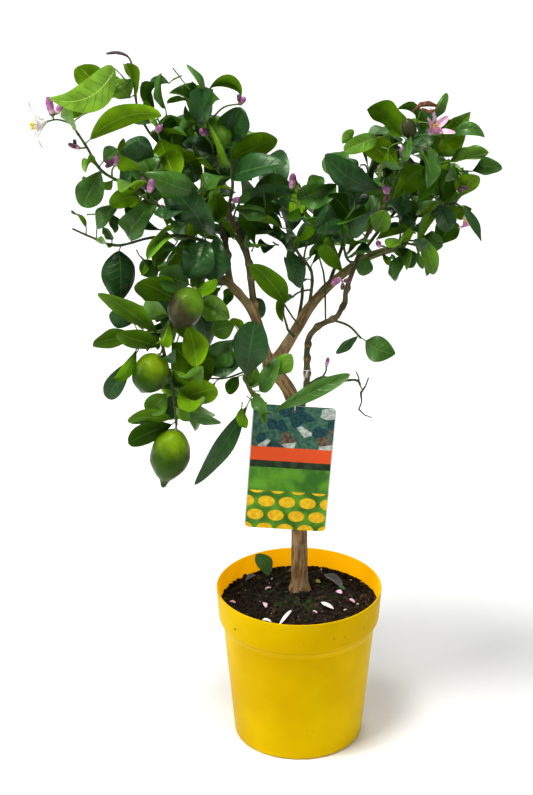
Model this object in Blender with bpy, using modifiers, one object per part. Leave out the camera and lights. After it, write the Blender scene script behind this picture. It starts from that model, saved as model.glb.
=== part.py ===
"""Potted lemon tree: a small fruiting lemon in a plastic pot, with a hanging plant label.

Metres, +Z up, origin at the middle of the pot's flat underside. The front is -Y and the right is +X.
Places on the plant are given in centimetres and thicknesses of wood in millimetres.
"""

import math
import random

import bmesh
import bpy
from mathutils import Matrix, Quaternion, Vector
from mathutils.bvhtree import BVHTree

CM = 0.01
MM = 0.001
GAP = 0.3 * MM
SLIVERS = (0.03 * MM, 0.02 * MM, 0.012 * MM, 0.009 * MM, 0.006 * MM, 0.003 * MM)
FLAT_ANGLE = math.radians(0.02)
UP = Vector((0, 0, 1))

# Pot and soil
POT_HEIGHT = 0.189
RIM_RADIUS = 0.095
BASE_RADIUS = 0.0742
BODY_TOP_RADIUS = 0.087
BODY_TOP = 0.142
COLLAR_FOOT_RADIUS = 0.092
COLLAR_FOOT = 0.149
POT_WALL = 0.002
POT_FLOOR = 0.0025
TURN_STEPS = 36
SOIL_EDGE = 0.166
SOIL_CROWN = 0.178
SOIL_FLAT_RADIUS = 0.030
ROOT_FLARE = 3.2 * MM
FLARE_HEIGHT = 0.016

# Label and its thread
LABEL_WIDTH = 0.093
LABEL_HEIGHT = 0.157
LABEL_THICKNESS = 1.2 * MM
LABEL_CORNER = 0.006
LABEL_MIDDLE = -0.0112
LABEL_LEVEL = 0.3385
LABEL_ROLL = math.radians(4)
LABEL_HOLE_RADIUS = 2.4 * MM
LABEL_HOLE_DROP = 0.006
THREAD_RADIUS = 0.5 * MM
THREAD_LINK_RADIUS = 3.6 * MM
THREAD_HEIGHT = 0.461

# Wood and leaves
LIMB_STEP = 0.018
STEM_STEP = 0.021
TRUNK_SIDES = 10
LIMB_SIDES = 6
STEM_SIDES = 4
END_STEP = 1.5 * MM
TIP_RUN = 8 * MM
LIMB_COLLAR = 1.2 * MM
STEM_COLLAR = 0.8 * MM
TWIG_RADIUS = 1.2 * MM
TWIG_TIP_RADIUS = 0.9 * MM
PETIOLE = 0.008
LONGEST_PETIOLE = 0.015
PETIOLE_RADIUS = 0.75 * MM
PETIOLE_SINK = 0.35 * MM
LEAF_THICKNESS = 0.9 * MM
LEAF_CLEARANCE = 0.55 * MM
BLADE_STATIONS = ((0.07, 0.30), (0.28, 1.0), (0.70, 0.90))
PETAL_WIDTH = 0.008
PETAL_BEND = 0.7
PETAL_FOLD = 0.5
INTERNODE = 0.021
GOLDEN_ANGLE = math.radians(137.5)
TRIES = 9
# Furthest left, furthest right and highest that a leaf reaches, in centimetres
REACH = (-28.4, 21.6, 80)
# Openings of the crown where the sky shows: middle x and z, half width, half height, in centimetres
SKY = ((1, 73, 5.5, 7), (-5, 81, 4.5, 4), (-13.5, 82, 3, 2.5), (-19, 74, 2.5, 1.8), (-24, 59, 3.5, 3),
       (8, 53.5, 5, 2.5), (-9, 50.5, 1, 1), (1.5, 57.5, 1.3, 1.6), (-7, 56.5, 1, 1.8), (-26, 66.5, 3, 4))

# Limb: parent, share of the parent's length, least collar on the parent in centimetres (none where it goes
# straight on from the tip), path in centimetres, radii in millimetres at its two ends
LIMBS = {
    "trunk": (None, 0, 0, ((0.1, 1.2, 17.83), (0, 1.1, 29), (-0.1, 1, 37), (-0.6, 0.8, 41.1),
                        (-1.4, 0.6, 43.3), (-2.4, 0.4, 44.8), (-3.3, 0.2, 46)), (9.8, 7.6)),
    "left_bough": ("trunk", 1, 1.7, ((-4.1, 0, 48.7), (-4.8, -0.2, 51.5), (-5.6, -0.3, 53.3),
                                     (-6.8, -0.4, 54.9),
                                (-8.1, -0.6, 56.4), (-9.4, -1, 57.1), (-10.1, -1.4, 57.2)), (6.6, 4)),
    "right_bough": ("trunk", 1, 1.7, ((-1.9, 0.4, 47.9), (-0.4, 0.6, 50.4), (0.8, 0.6, 52.6),
                                      (2.6, 0.6, 54.9),
                                     (4.8, 0.8, 56.9), (7.5, 1.2, 58.6), (10.4, 1.8, 59.4)), (6.8, 4)),
    "front_bough": ("trunk", 0.70, 0.5, ((0.2, -0.1, 41.3), (0.6, -0.7, 43.5), (0.7, -0.9, 46.1),
                                         (0.7, -1, 48.6),
                                    (1, -1.2, 50.3), (2.3, -1.4, 51.7), (3.8, -1.5, 52.5),
                                    (4.4, -1.5, 53.6)),
                    (4, 2.9)),
    "left_leader": ("left_bough", 0.36, 0.5, ((-5.2, 0.4, 54), (-5.5, 0.7, 56.7), (-6.2, 1.1, 60.2),
                                         (-7.4, 1.5, 62.4), (-8.3, 1.6, 64.8)), (4.2, 2.8)),
    "knot_bough": ("left_bough", 0.80, 0.5, ((-7.9, 0, 58), (-8.1, 0.2, 60.2), (-8.6, 0.2, 62.2)),
                   (3.6, 2.6)),
    "right_leader": ("front_bough", 1, 0, ((4.8, -1.5, 55.3), (5.6, -1.4, 58), (7, -1.6, 62),
                                           (8.9, -2, 65.6)),
                     (2.8, 2.2)),
}

OVER, UNDER = 1, -1

# Mass: parent limb, share of its length, stem in centimetres, stem radii in millimetres,
# signature leaves (foot, tip, face that shows, width in centimetres where it isn't the usual, bend)
# and seeded shoots (how many, their length in centimetres)
MASSES = {
    "foliage_left_tip": (
        "knot_bough", 1, ((-11, -0.5, 63.5), (-13.5, -2, 64.5), (-17, -3, 67), (-19, -3.5, 68.5),
                          (-21, -4, 70),
                          (-22.5, -4.3, 72.8), (-24, -4.5, 75.3)), (2.3, 1.2),
        (((-24, -5, 76), (-19.5, -6.5, 78), UNDER), ((-22, -4.5, 73.5), (-14.5, -5.5, 76.5), UNDER, 3, 2.2),
         ((-21, -4, 70), (-23, -5.5, 66.5), OVER), ((-15.5, -2.5, 71), (-18.7, -4, 72), OVER),
         ((-11, -3, 68.5), (-16.5, -5.5, 71), OVER), ((-17, -4, 67), (-20, -5, 66.3), UNDER, 1.7)),
        (0, 0)),
    "foliage_top_left": (
        "left_leader", 0.80, ((-9.8, 3.4, 65.5), (-13.2, 2.6, 69.3), (-16, -0.2, 72.8), (-17.3, -0.6, 76),
                              (-17.5, -0.5, 79), (-18.1, 0, 81), (-19.2, 0, 81.5), (-20.4, 0, 81.4)),
                              (2, 0.9),
        (((-19, -3.5, 79.3), (-26, -6, 78.3), OVER, 3.9, 0.5), ((-20.8, -2.5, 78.3),
                                                                (-23.5, -2.5, 81.3), UNDER, 3),
         ((-17.5, -1, 77), (-18.3, -1.8, 81), UNDER, 1.9), ((-14.3, -1, 75.8),
                                                            (-14.8, -2, 79.6), OVER, 1.9),
         ((-15.9, -1.5, 75), (-19.3, -1.2, 75.6), OVER, 1.8)),
        (0, 0)),
    "foliage_top": (
        "left_leader", 1, ((-8.9, 1.9, 68.5), (-9.5, 2, 70.5), (-9.8, 2.4, 73.5), (-10.5, 2.5, 75.5),
                           (-11.6, 2, 77.2), (-13.5, 2, 79.4)), (2.2, 0.9),
        (((-11, 0, 70), (-15, -2.5, 71), UNDER), ((-11, 1, 73.5), (-9.5, -0.5, 77.6), OVER),
         ((-10, 2, 76.6), (-11.5, 1, 79.7), OVER, 2), ((-9.8, 2, 77), (-6.4, 1, 76.5), UNDER, 1.8, 1.6),
         ((-11.8, 2, 75.6), (-14.2, 1, 75.8), UNDER, 1.3, 1.4), ((-7.5, 1.5, 71.5),
                                                                 (-6.5, 0.5, 75.6), OVER),
         ((-9, 1, 68.7), (-9.5, -1.5, 74), OVER), ((-7.6, 0.7, 69.7), (-2.6, -1, 72.6), UNDER, 3.2),
         ((-7.5, 0, 68), (-1.6, -2.5, 70.3), OVER, 3), ((-9, 0.5, 66.5), (-8.5, -1.5, 63.3), UNDER, 1.9),
         ((-7, 0, 64.3), (-3.5, -1.5, 64.2), OVER, 1.9)),
        (3, 4)),
    "foliage_centre": (
        "right_bough", 0.40, ((1.1, -0.3, 57.4), (-0.4, -0.8, 59.8), (-1.2, -0.8, 62),
                              (-1.5, -0.6, 64.5)), (2, 1.1),
        (((-5, -0.5, 60.5), (-1.7, 0.8, 66.8), UNDER, 4), ((-0.7, -1.2, 59.8), (0, -2.2, 55.8), OVER, 2.1),
         ((-0.5, -1.5, 66), (3.3, -2.2, 68), OVER), ((-2, 0.2, 54.3), (-5.5, -1.2, 58.8), UNDER, 2.3)),
        (3, 3.5)),
    "foliage_right_inner": (
        "right_leader", 0.42, ((5, -2.6, 59.5), (4.4, -2.9, 61.5), (4.2, -2.6, 64)), (1.6, 1.1),
        (((6.4, -1.9, 62.5), (3, -1.4, 67), UNDER, 3.4), ((4.2, -3, 61.8), (0, -4, 65.5), UNDER, 2.3),
         ((4.4, -3.2, 58.3), (2.2, -4.6, 62.3), UNDER, 2.4)),
        (3, 3)),
    "foliage_right_top": (
        "right_leader", 1, ((10.4, -2.4, 69.8), (11.4, -2.6, 72.6)), (1.9, 1.2),
        (((10.6, -2, 73), (7, -1.5, 76.2), UNDER, 3.3), ((8.4, -2.3, 73), (4.3, -3.8, 71.6), OVER, 2, 1.4),
         ((10, -2.5, 70), (6.3, -3.2, 73), UNDER), ((8.5, -3, 67.7), (2.4, -4.8, 72), OVER, 3.4),
         ((11.5, -3.2, 72.5), (13, -5, 68.3), OVER, 2.4, 1.3), ((9.7, -1.2, 66),
                                                                (13.5, -1.7, 70.5), UNDER, 3),
         ((14.2, -0.5, 70.8), (16.5, -0.5, 74.2), UNDER, 2.8), ((16, 0.6, 71.8),
                                                                (19.2, 0, 72.2), OVER, 2, 1.2),
         ((14, -1, 74.7), (15, -1.2, 77.3), OVER, 1.2)),
        (4, 3.5)),
    "foliage_right_tip": (
        "right_bough", 1, ((12, 1.3, 61.3), (13.5, 1, 63), (15, 0.5, 64.5), (16.5, -0.3, 65.2)), (2.6, 1.3),
        (((15.5, 0.2, 69.5), (19.7, -1, 71), OVER, 2.2), ((18, 0, 68.6), (21.6, -0.6, 69), OVER, 2),
         ((16.7, -1, 65.8), (19, -1.7, 69.2), UNDER, 2.3), ((15, -0.7, 65.3), (15.5, -2, 69.5), UNDER),
         ((17, -1, 65), (19, -2, 61.3), OVER, 1.2), ((14.6, -1, 64.3), (12.4, -3, 61.8), OVER, 2.7),
         ((14.7, 0, 60.3), (16.6, -1, 63.6), UNDER, 2)),
        (4, 3.5)),
    "foliage_right_low": (
        "right_bough", 0.80, ((9.6, -0.6, 60.2), (11.3, -1.5, 61), (12.6, -1.6, 60.7)), (1.7, 1.1),
        (((8, -1.5, 61.5), (12.3, -3.4, 63.3), UNDER, 2.4), ((12.6, -1.8, 61.7), (15, -3, 61.2), OVER, 1.8),
         ((13.2, -1.6, 60.3), (14.5, -2, 57.2), OVER, 2), ((10.5, -0.8, 59.3),
                                                           (10, -1.6, 56.8), OVER, 1.7)),
        (2, 2.5)),
    "foliage_front_right": (
        "front_bough", 0.90, ((5.2, -2.2, 51.8), (6.5, -2.8, 50.6)), (1.5, 1.1),
        (((7, -3, 50.4), (10.2, -4, 49.3), OVER, 2.3), ((6.1, -3, 50.9), (3.8, -4, 49.4), OVER, 1.7)),
        (0, 0)),
    "foliage_front_low": (
        "left_bough", 0.18, ((-5, -1.8, 49), (-5.7, -3.2, 48), (-6, -4.2, 46.5), (-5.4, -4.9, 45.1),
                             (-4.6, -5, 44), (-4, -5.1, 42.9)), (2.4, 1.3),
        (((-5.8, -5.3, 43.8), (-11.6, -7, 34.9), OVER, 2.1, 0.4), ((-3.2, -5.4, 43),
                                                                   (5.2, -6.2, 47.8), OVER, 1.8, 0.6),
         ((-6, -4.6, 46.9), (-5, -5.2, 53.5), OVER, 3.9), ((-4.5, -4.7, 45.2), (-2.6, -5.7, 49), OVER, 1.8),
         ((-7.2, -2.6, 50.5), (-10.2, -4, 47.8), OVER, 2.7), ((-11, -3.8, 46.2),
                                                              (-16.3, -3.6, 45.4), OVER, 1.5),
         ((-6.8, -4.4, 46.8), (-7.9, -5, 45), UNDER, 1.6)),
        (1, 3)),
    "foliage_fruit_branch": (
        "left_bough", 1, ((-11, -2, 56.8), (-12.4, -2.8, 55), (-13.9, -3.6, 53.3), (-14.9, -4.5, 51.6),
                          (-14.6, -5.2, 49.1), (-14, -5.6, 46.8), (-13.6, -6, 43.5),
                          (-13.5, -6.2, 41.8)), (2.6, 1.4),
        (((-15.5, -4.7, 52), (-21.5, -6.5, 57.4), UNDER, 3.3), ((-18.3, -4.2, 51.7),
                                                                (-22.6, -5.5, 51), UNDER, 2.6),
         ((-15.3, -5, 51.2), (-20, -7.5, 53), UNDER, 2.5), ((-18, -4, 49), (-21, -5, 44.4), OVER, 1.9),
         ((-12.2, -4.6, 53), (-11, -6.5, 48.9), UNDER, 2.6), ((-14, -4, 50.6), (-10, -5.2, 46.5), UNDER),
         ((-11, -2.5, 54.8), (-7.9, -4, 53.7), OVER, 2.7), ((-13.4, -5.8, 44.6),
                                                            (-9, -7.5, 46.8), UNDER, 2.4),
         ((-14, -6.2, 42.5), (-18.6, -8, 43.5), UNDER, 2.3), ((-14, -5.7, 41.9),
                                                              (-18, -6.6, 39.6), UNDER, 2.3),
         ((-12.6, -6, 43), (-9, -7.5, 43), OVER, 1.4), ((-13.5, -3.5, 56), (-17.7, -5, 58.2), UNDER, 3)),
        (2, 3)),
    "foliage_left_side": (
        "knot_bough", 0.55, ((-10.9, -0.8, 61.2), (-13.2, -1.2, 61.8), (-16.3, -1.4, 61.6),
                             (-19.9, -1.8, 60.9),
                             (-22.6, -2, 62), (-24.4, -2.1, 62.9)), (2, 1.1),
        (((-19.5, -2, 60.4), (-19.4, -3.5, 55.2), OVER, 4), ((-21.8, -2.3, 62.9), (-20, -3, 65.6), OVER, 1.7),
         ((-22.9, -2.3, 63.1), (-24.4, -2.8, 65), UNDER, 1.2), ((-18.5, -1.7, 61.8),
                                                                (-15.8, -3.2, 66), OVER, 2.6),
         ((-13.5, -2, 61), (-16.3, -4, 59.8), UNDER, 2.8), ((-11.1, -2.8, 58.5),
                                                            (-14.5, -4.8, 61.5), UNDER, 2.1),
         ((-10.3, -1.2, 62.4), (-13, -3.5, 67.5), OVER, 3.8), ((-10.3, -2, 61.7),
                                                               (-12.2, -4.5, 58.6), OVER, 2.8),
         ((-9, -1.3, 61.8), (-9.5, -3.5, 57.4), OVER, 2.6)),
        (2, 3)),
    "foliage_back_low": (
        "left_bough", 0.50, ((-7, 2.2, 54.6), (-9.5, 4, 54.3), (-12.5, 5, 52.8), (-15, 5.2, 50.2)),
        (2.2, 1.2),
        (), (5, 4.5)),
    "foliage_back_left": (
        "left_leader", 0.35, ((-6.3, 3.4, 58.6), (-8.4, 6, 61), (-11, 8, 63.5), (-13.2, 8.8, 66)),
        (2.2, 1.2),
        (), (7, 5)),
    "foliage_back_top": (
        "left_leader", 0.92, ((-7.4, 3.4, 66), (-8, 5.4, 69), (-9.4, 6.4, 72)), (2, 1.2),
        (), (6, 4.5)),
    "foliage_back_centre": (
        "right_bough", 0.26, ((0.2, 3, 54.2), (-0.8, 5, 57.4), (-1.6, 6.2, 60.8), (-1.8, 6.8, 63.5)),
        (2, 1.2),
        (), (4, 4)),
    "foliage_back_right": (
        "right_bough", 0.56, ((4.6, 3.6, 59), (5.6, 5.8, 62), (7.2, 7, 65.4), (8, 7.4, 68)), (2.2, 1.2),
        (), (7, 4.8)),
    "foliage_back_right_tip": (
        "right_bough", 0.74, ((8.6, 3.6, 60.8), (11, 5.2, 63), (13.6, 5.8, 65.6), (14.8, 6, 68)),
        (2.2, 1.2),
        (), (5, 4.5)),
    "bare_twig": (
        "front_bough", 0.36, ((2.4, -1.6, 45.5), (4.2, -2.2, 45.3), (6.2, -2.8, 45.6), (6.7, -3, 44.3),
                              (6.8, -3, 42.4), (7.9, -3.2, 41.2)), (1.6, 0.9),
        (), (0, 0)),
}

# Fruit: mass, stalk end, far end (centimetres), greatest radius in centimetres, length of the nipple share
FRUITS = (
    ("foliage_fruit_branch", (-11.4, -4.6, 57), (-13.4, -6, 53), 1.75, 0.06),
    ("foliage_fruit_branch", (-15.3, -6.2, 50), (-17.2, -6.8, 45.9), 1.85, 0.05),
    ("foliage_fruit_branch", (-13.6, -6.4, 41.3), (-15.1, -6.9, 34.6), 2.0, 0.2),
    ("foliage_right_top", (11.2, -3.4, 73.4), (10.8, -4, 75.6), 0.75, 0.02),
)

# Flower bud: mass, middle (centimetres), length and thickness in millimetres
BUDS = (
    ("foliage_left_tip", (-26, -5.2, 77), 15, 7), ("foliage_left_tip", (-24.9, -5.4, 76.9), 12, 6.5),
    ("foliage_left_tip", (-23.5, -4.5, 72.5), 8, 5), ("foliage_left_tip", (-19.4, -4.4, 71), 9, 6),
    ("foliage_left_tip", (-15.8, -4.8, 68.2), 15, 7.5), ("foliage_left_side", (-14.6, -3.6, 65), 14, 7),
    ("foliage_top_left", (-15, -1.8, 73.6), 9, 6), ("foliage_top", (-10.5, 0.4, 72.6), 8, 6),
    ("foliage_top", (-6.3, 0.8, 75.9), 8, 6), ("foliage_top", (-7, -0.8, 65.4), 9, 6),
    ("foliage_centre", (-1, -2, 67.9), 14, 7), ("foliage_centre", (0.4, -2.8, 67.6), 13, 6.5),
    ("foliage_right_top", (10.5, -3.8, 71.5), 13, 7.5), ("foliage_right_top", (8.3, -3.9, 69.6), 12, 7),
    ("foliage_right_top", (8.8, -4, 67.6), 11, 7), ("foliage_right_inner", (3.9, -3.8, 57.4), 11, 6.5),
    ("foliage_right_low", (8.2, -2.4, 61.1), 7, 5.5), ("foliage_right_tip", (13.6, -1.6, 67), 11, 6),
    ("bare_twig", (2.9, -2.2, 47.4), 9, 4),
)

# Open flower: mass, middle and facing in centimetres, petal length in centimetres, petals, spread in degrees
FLOWERS = (
    ("foliage_left_tip", (-26.3, -5.4, 75.7), (-0.9, -0.35, -0.2), 2.2, 5, 62),
    ("foliage_right_top", (13.2, -3.4, 73.7), (0.55, -0.35, 0.75), 2.5, 5, 48),
    ("foliage_right_tip", (17.4, -1.7, 64.3), (0.15, -0.5, -0.85), 1.5, 5, 38),
)

COLOURS = {
    "pot": (0.93, 0.60, 0.01),
    "soil": (0.022, 0.016, 0.011),
    "bark": (0.20, 0.145, 0.09),
    "foliage": (0.045, 0.14, 0.02),
    "label": (0.12, 0.30, 0.14),
    "thread": (0.85, 0.85, 0.8),
}


def material(name, colour, roughness):
    made = bpy.data.materials.new(name)
    made.use_nodes = True
    shader = made.node_tree.nodes["Principled BSDF"]
    shader.inputs["Base Color"].default_value = (*colour, 1)
    shader.inputs["Roughness"].default_value = roughness
    made.diffuse_color = (*colour, 1)
    return made


def centimetres(point):
    return Vector(point) * CM


def perpendicular(vector, to):
    """The part of a vector at right angles to a direction, as a unit vector."""
    part = vector - vector.dot(to) * to
    return part.normalized() if part.length > 1e-6 else to.orthogonal().normalized()


class Path:
    """A smooth line through a few points, sampled at even steps, with a radius that tapers along it."""

    def __init__(self, points, radii, step):
        ends = [points[0] * 2 - points[1], *points, points[-1] * 2 - points[-2]]
        fine = [points[0]]
        for a, b, c, d in zip(ends, ends[1:], ends[2:], ends[3:]):
            before, span, after = ((q - p).length ** 0.5 for p, q in ((a, b), (b, c), (c, d)))
            leave = (c - b) + span * ((b - a) / before - (c - a) / (before + span))
            arrive = (c - b) + span * ((d - c) / after - (d - b) / (span + after))
            for share in (0.125 * k for k in range(1, 9)):
                blend = share * share * (3 - 2 * share)
                fine.append(b.lerp(c, blend) + leave * share * (1 - share) ** 2
                            - arrive * share * share * (1 - share))
        self.fine = fine
        self.distances = [0.0]
        for a, b in zip(fine, fine[1:]):
            self.distances.append(self.distances[-1] + (b - a).length)
        self.length = self.distances[-1]
        self.radii = radii
        self.step = step

    def point(self, distance):
        distance = min(max(distance, 0), self.length)
        index = next(i for i, d in enumerate(self.distances[1:]) if d >= distance - 1e-9)
        a, b = self.fine[index], self.fine[index + 1]
        span = self.distances[index + 1] - self.distances[index]
        return a.lerp(b, (distance - self.distances[index]) / max(span, 1e-9))

    def tangent(self, distance):
        reach = 0.002
        return (self.point(distance + reach) - self.point(distance - reach)).normalized()

    def radius(self, distance):
        return self.radii[0] + (self.radii[1] - self.radii[0]) * distance / self.length

    def samples(self, start=0.0, end=None, squared=False):
        """(point, radius) at even steps between two distances, with one more just inside each end."""
        end = self.length if end is None else end
        count = max(1, round((end - start) / self.step))
        marks = [start + (end - start) * k / count for k in range(count + 1)]
        if squared:
            marks = [start, start + END_STEP, *marks[1:-1], end - END_STEP, end]
        return [(self.point(mark), self.radius(mark)) for mark in marks]


def ring_shell(rings):
    """Vertices and faces of a closed loft through rings that all have the same number of points."""
    sides = len(rings[0])
    vertices = [point for ring in rings for point in ring]
    faces = [tuple(range(sides))[::-1], tuple(range(len(vertices) - sides, len(vertices)))]
    for level in range(len(rings) - 1):
        for side in range(sides):
            a = level * sides + side
            b = level * sides + (side + 1) % sides
            faces.append((a, b, b + sides, a + sides))
    return vertices, faces


def tube_rings(samples, sides, margin=0.0):
    rings = []
    for index, (point, radius) in enumerate(samples):
        before = samples[max(index - 1, 0)][0]
        after = samples[min(index + 1, len(samples) - 1)][0]
        along = (after - before).normalized()
        across = perpendicular(Vector((1, 0.3, 0.2)), along)
        other = along.cross(across)
        reach = radius + margin
        turns = [2 * math.pi * k / sides for k in range(sides)]
        rings.append([point + reach * (math.cos(t) * across + math.sin(t) * other) for t in turns])
    return rings


class Leaf:
    """A blade on a curved midrib from foot to tip, folded along it, with a petiole back to its node."""

    def __init__(self, mass, node, foot, tip, normal, width, bend, fold, face, kind="leaf"):
        self.mass, self.node, self.foot, self.tip = mass, node, foot, tip
        self.width, self.bend, self.fold, self.kind, self.face = width, bend, fold, kind, face
        self.chord = tip - foot
        self.along = self.chord.normalized()
        self.normal = perpendicular(normal, self.along)
        self.side = self.along.cross(self.normal)

    def midrib(self, share):
        """Point and local normal on the arc that turns by the bend between foot and tip."""
        half = self.bend / 2
        turn = self.bend * (share - 0.5)
        scale = self.chord.length / (2 * math.sin(half))
        point = (self.foot + self.along * scale * (math.sin(turn) + math.sin(half))
                 + self.normal * scale * (math.cos(turn) - math.cos(half)))
        return point, self.normal * math.cos(turn) + self.along * math.sin(turn)

    def section(self, share, breadth, margin=0.0):
        centre, up = self.midrib(share)
        half = breadth * self.width / 2 + margin
        lift = up * (half * math.sin(self.fold) + margin)
        spread = self.side * half * math.cos(self.fold)
        keel = up * (LEAF_THICKNESS / 2 + margin)
        return [centre + spread + lift, centre - spread + lift, centre - keel]

    def solid(self):
        """The whole leaf: a sunk petiole root, the blade's foot, two broad sections and the tip."""
        centre, up = self.midrib(0)
        rings = []
        sunk = self.node - (centre - self.node).normalized() * PETIOLE_SINK
        for point in (sunk, centre):
            out, lift = self.side * PETIOLE_RADIUS, up * PETIOLE_RADIUS
            rings.append([point + out + lift / 2, point - out + lift / 2, point - lift])
        rings += [self.section(share, breadth) for share, breadth in BLADE_STATIONS[1:]]
        return self.pointed(rings)

    def proxy(self):
        """A slightly larger blade, for telling whether it would touch something."""
        rings = [self.section(share, breadth, LEAF_CLEARANCE) for share, breadth in BLADE_STATIONS]
        return self.pointed(rings)

    def pointed(self, rings):
        vertices, faces = ring_shell(rings)
        last = len(vertices)
        vertices.append(self.tip)
        sides = len(rings[0])
        faces.pop(1)
        faces += [(last - sides + k, last - sides + (k + 1) % sides, last) for k in range(sides)]
        return vertices, faces


class Crown:
    """Everything that has grown so far, with the test that keeps it apart."""

    def __init__(self):
        self.shapes = []
        self.limbs = {}
        self.stubs = {name: [] for name in LIMBS}
        self.branches = {name: [] for name in MASSES}
        self.leaves = []
        self.fruits = []
        self.buds = []
        self.skipped = 0

    def shape(self, owner, kind, vertices, faces):
        low = Vector([min(v[axis] for v in vertices) for axis in range(3)])
        high = Vector([max(v[axis] for v in vertices) for axis in range(3)])
        return owner, kind, low, high, BVHTree.FromPolygons(vertices, faces)

    def free(self, shape, ignore):
        """Whether a shape touches nothing, apart from the (owner, kind) pairs that it may touch."""
        owner, kind, low, high, tree = shape
        for other, other_kind, other_low, other_high, other_tree in self.shapes:
            if (other, other_kind) in ignore:
                continue
            if any(low[axis] > other_high[axis] or high[axis] < other_low[axis] for axis in range(3)):
                continue
            if tree.overlap(other_tree):
                return False
        return True

    def add_tube(self, owner, kind, samples, sides=6):
        self.shapes.append(self.shape(owner, kind, *ring_shell(tube_rings(samples, sides, LEAF_CLEARANCE))))


def child_path(crown, parent, share, least, points, radii, step, collar):
    """A limb's path from its parent: it goes on from the tip, or starts past a short collar."""
    route = crown.limbs[parent]
    start = route.point(share * route.length)
    if not least:
        onward = start + route.tangent(route.length) * TIP_RUN
        path = Path([start, onward, *map(centimetres, points)], radii, step)
        return path, GAP
    path = Path([start, *map(centimetres, points)], radii, step)
    clear = route.radius(share * route.length) + radii[0] + collar
    cut = max(clear, least * CM)
    while min((path.point(cut) - point).length for point in route.fine) < clear:
        cut += 0.5 * MM
    crown.stubs[parent].append((path, cut))
    return path, cut + GAP


def grow_limbs(crown):
    starts = {}
    for name, (parent, share, least, points, radii) in LIMBS.items():
        radii = tuple(radius * MM for radius in radii)
        if parent is None:
            crown.limbs[name] = Path([centimetres(point) for point in points], radii, LIMB_STEP)
            starts[name] = 0.0
        else:
            crown.limbs[name], starts[name] = child_path(crown, parent, share, least, points, radii,
                                                         LIMB_STEP, LIMB_COLLAR)
        crown.add_tube(name, "wood", crown.limbs[name].samples(starts[name]), 8)
    return starts


def grow_stems(crown):
    starts = {}
    for name, (parent, share, points, radii, *_) in MASSES.items():
        radii = tuple(radius * MM for radius in radii)
        least = 0 if share == 1 else 0.2
        path, starts[name] = child_path(crown, parent, share, least, points, radii, STEM_STEP, STEM_COLLAR)
        crown.branches[name].append(path)
        crown.add_tube(name, "wood", path.samples(starts[name]))
    return starts


def nearest_branch(crown, mass, target, starts):
    """(path, distance) of the best place for a twig to leave for a target: near, and not backwards."""
    best = None
    for path in crown.branches[mass]:
        first = starts[mass] + 0.006 if path is crown.branches[mass][0] else path.length * 0.3
        steps = max(2, round(path.length / 0.004))
        for k in range(steps + 1):
            distance = min(path.length * k / steps, path.length - 1 * MM)
            if distance < first:
                continue
            away = target - path.point(distance)
            backwards = max(0.0, 0.35 - away.normalized().dot(path.tangent(distance)))
            cost = away.length * (1 + 1.1 * backwards)
            if best is None or cost < best[0]:
                best = cost, path, distance
    return best[1], best[2]


def grow_twig(crown, mass, target, starts, onward=None):
    """A twig from the nearest branch to a target, or None where it would touch something of another mass."""
    path, distance = nearest_branch(crown, mass, target, starts)
    foot = path.point(distance)
    away = target - foot
    bow = path.tangent(distance) * away.length * 0.22 + UP * away.length * 0.05
    middle = foot + away * 0.5 + bow * 0.5
    points = [foot, middle, target] if away.length > 0.012 else [foot, target]
    twig = Path(points, (min(TWIG_RADIUS, path.radius(distance) * 0.9), TWIG_TIP_RADIUS), STEM_STEP)
    start = min(path.radius(distance) + 2 * MM, twig.length * 0.5)
    shape = crown.shape(mass, "wood", *ring_shell(tube_rings(twig.samples(start), 3, LEAF_CLEARANCE)))
    if not crown.free(shape, {(mass, "wood")}):
        return None
    crown.branches[mass].append(twig)
    crown.shapes.append(shape)
    return twig


def place_leaf(crown, leaf, ignore=frozenset()):
    """Adds a leaf where its blade touches nothing, and its petiole nothing but its own mass's wood."""
    blade = crown.shape(leaf.mass, leaf.kind, *leaf.proxy())
    own = {(leaf.mass, "wood"), (leaf.mass, "petiole")}
    stalk = [(leaf.node.lerp(leaf.foot, share), PETIOLE_RADIUS) for share in (0.3, 1.0)]
    petiole = crown.shape(leaf.mass, "petiole", *ring_shell(tube_rings(stalk, 3, LEAF_CLEARANCE)))
    if not crown.free(blade, ignore) or not crown.free(petiole, own | ignore):
        return False
    crown.leaves.append(leaf)
    crown.shapes += [blade, petiole]
    return True


def tie_leaf(crown, mass, foot, tip, starts):
    """The node that carries a leaf: on the nearest branch, or at the end of a twig grown for it."""
    path, distance = nearest_branch(crown, mass, foot, starts)
    if (foot - path.point(distance)).length <= LONGEST_PETIOLE:
        return path.point(distance)
    back = (tip - foot).normalized() * PETIOLE
    twig = grow_twig(crown, mass, foot - back, starts)
    return None if twig is None else twig.point(twig.length - 0.5 * MM)


def usual_width(length):
    return 0.36 * length + 1.5 * CM


def grow_fruit(crown, starts):
    for mass, stalk, end, radius, nipple in FRUITS:
        stalk, end = centimetres(stalk), centimetres(end)
        grow_twig(crown, mass, stalk.lerp(end, 0.03), starts)
        profile = fruit_profile((end - stalk).length, radius * CM, nipple)
        turn = UP.rotation_difference(end - stalk)
        rings = [[stalk + turn @ Vector((math.cos(a) * r, math.sin(a) * r, z))
                  for a in (2 * math.pi * k / 10 for k in range(10))] for r, z in profile[1:-1]]
        crown.shapes.append(crown.shape(mass, "fruit", *ring_shell(rings)))
        crown.fruits.append((mass, stalk, end, radius * CM, nipple))


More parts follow.
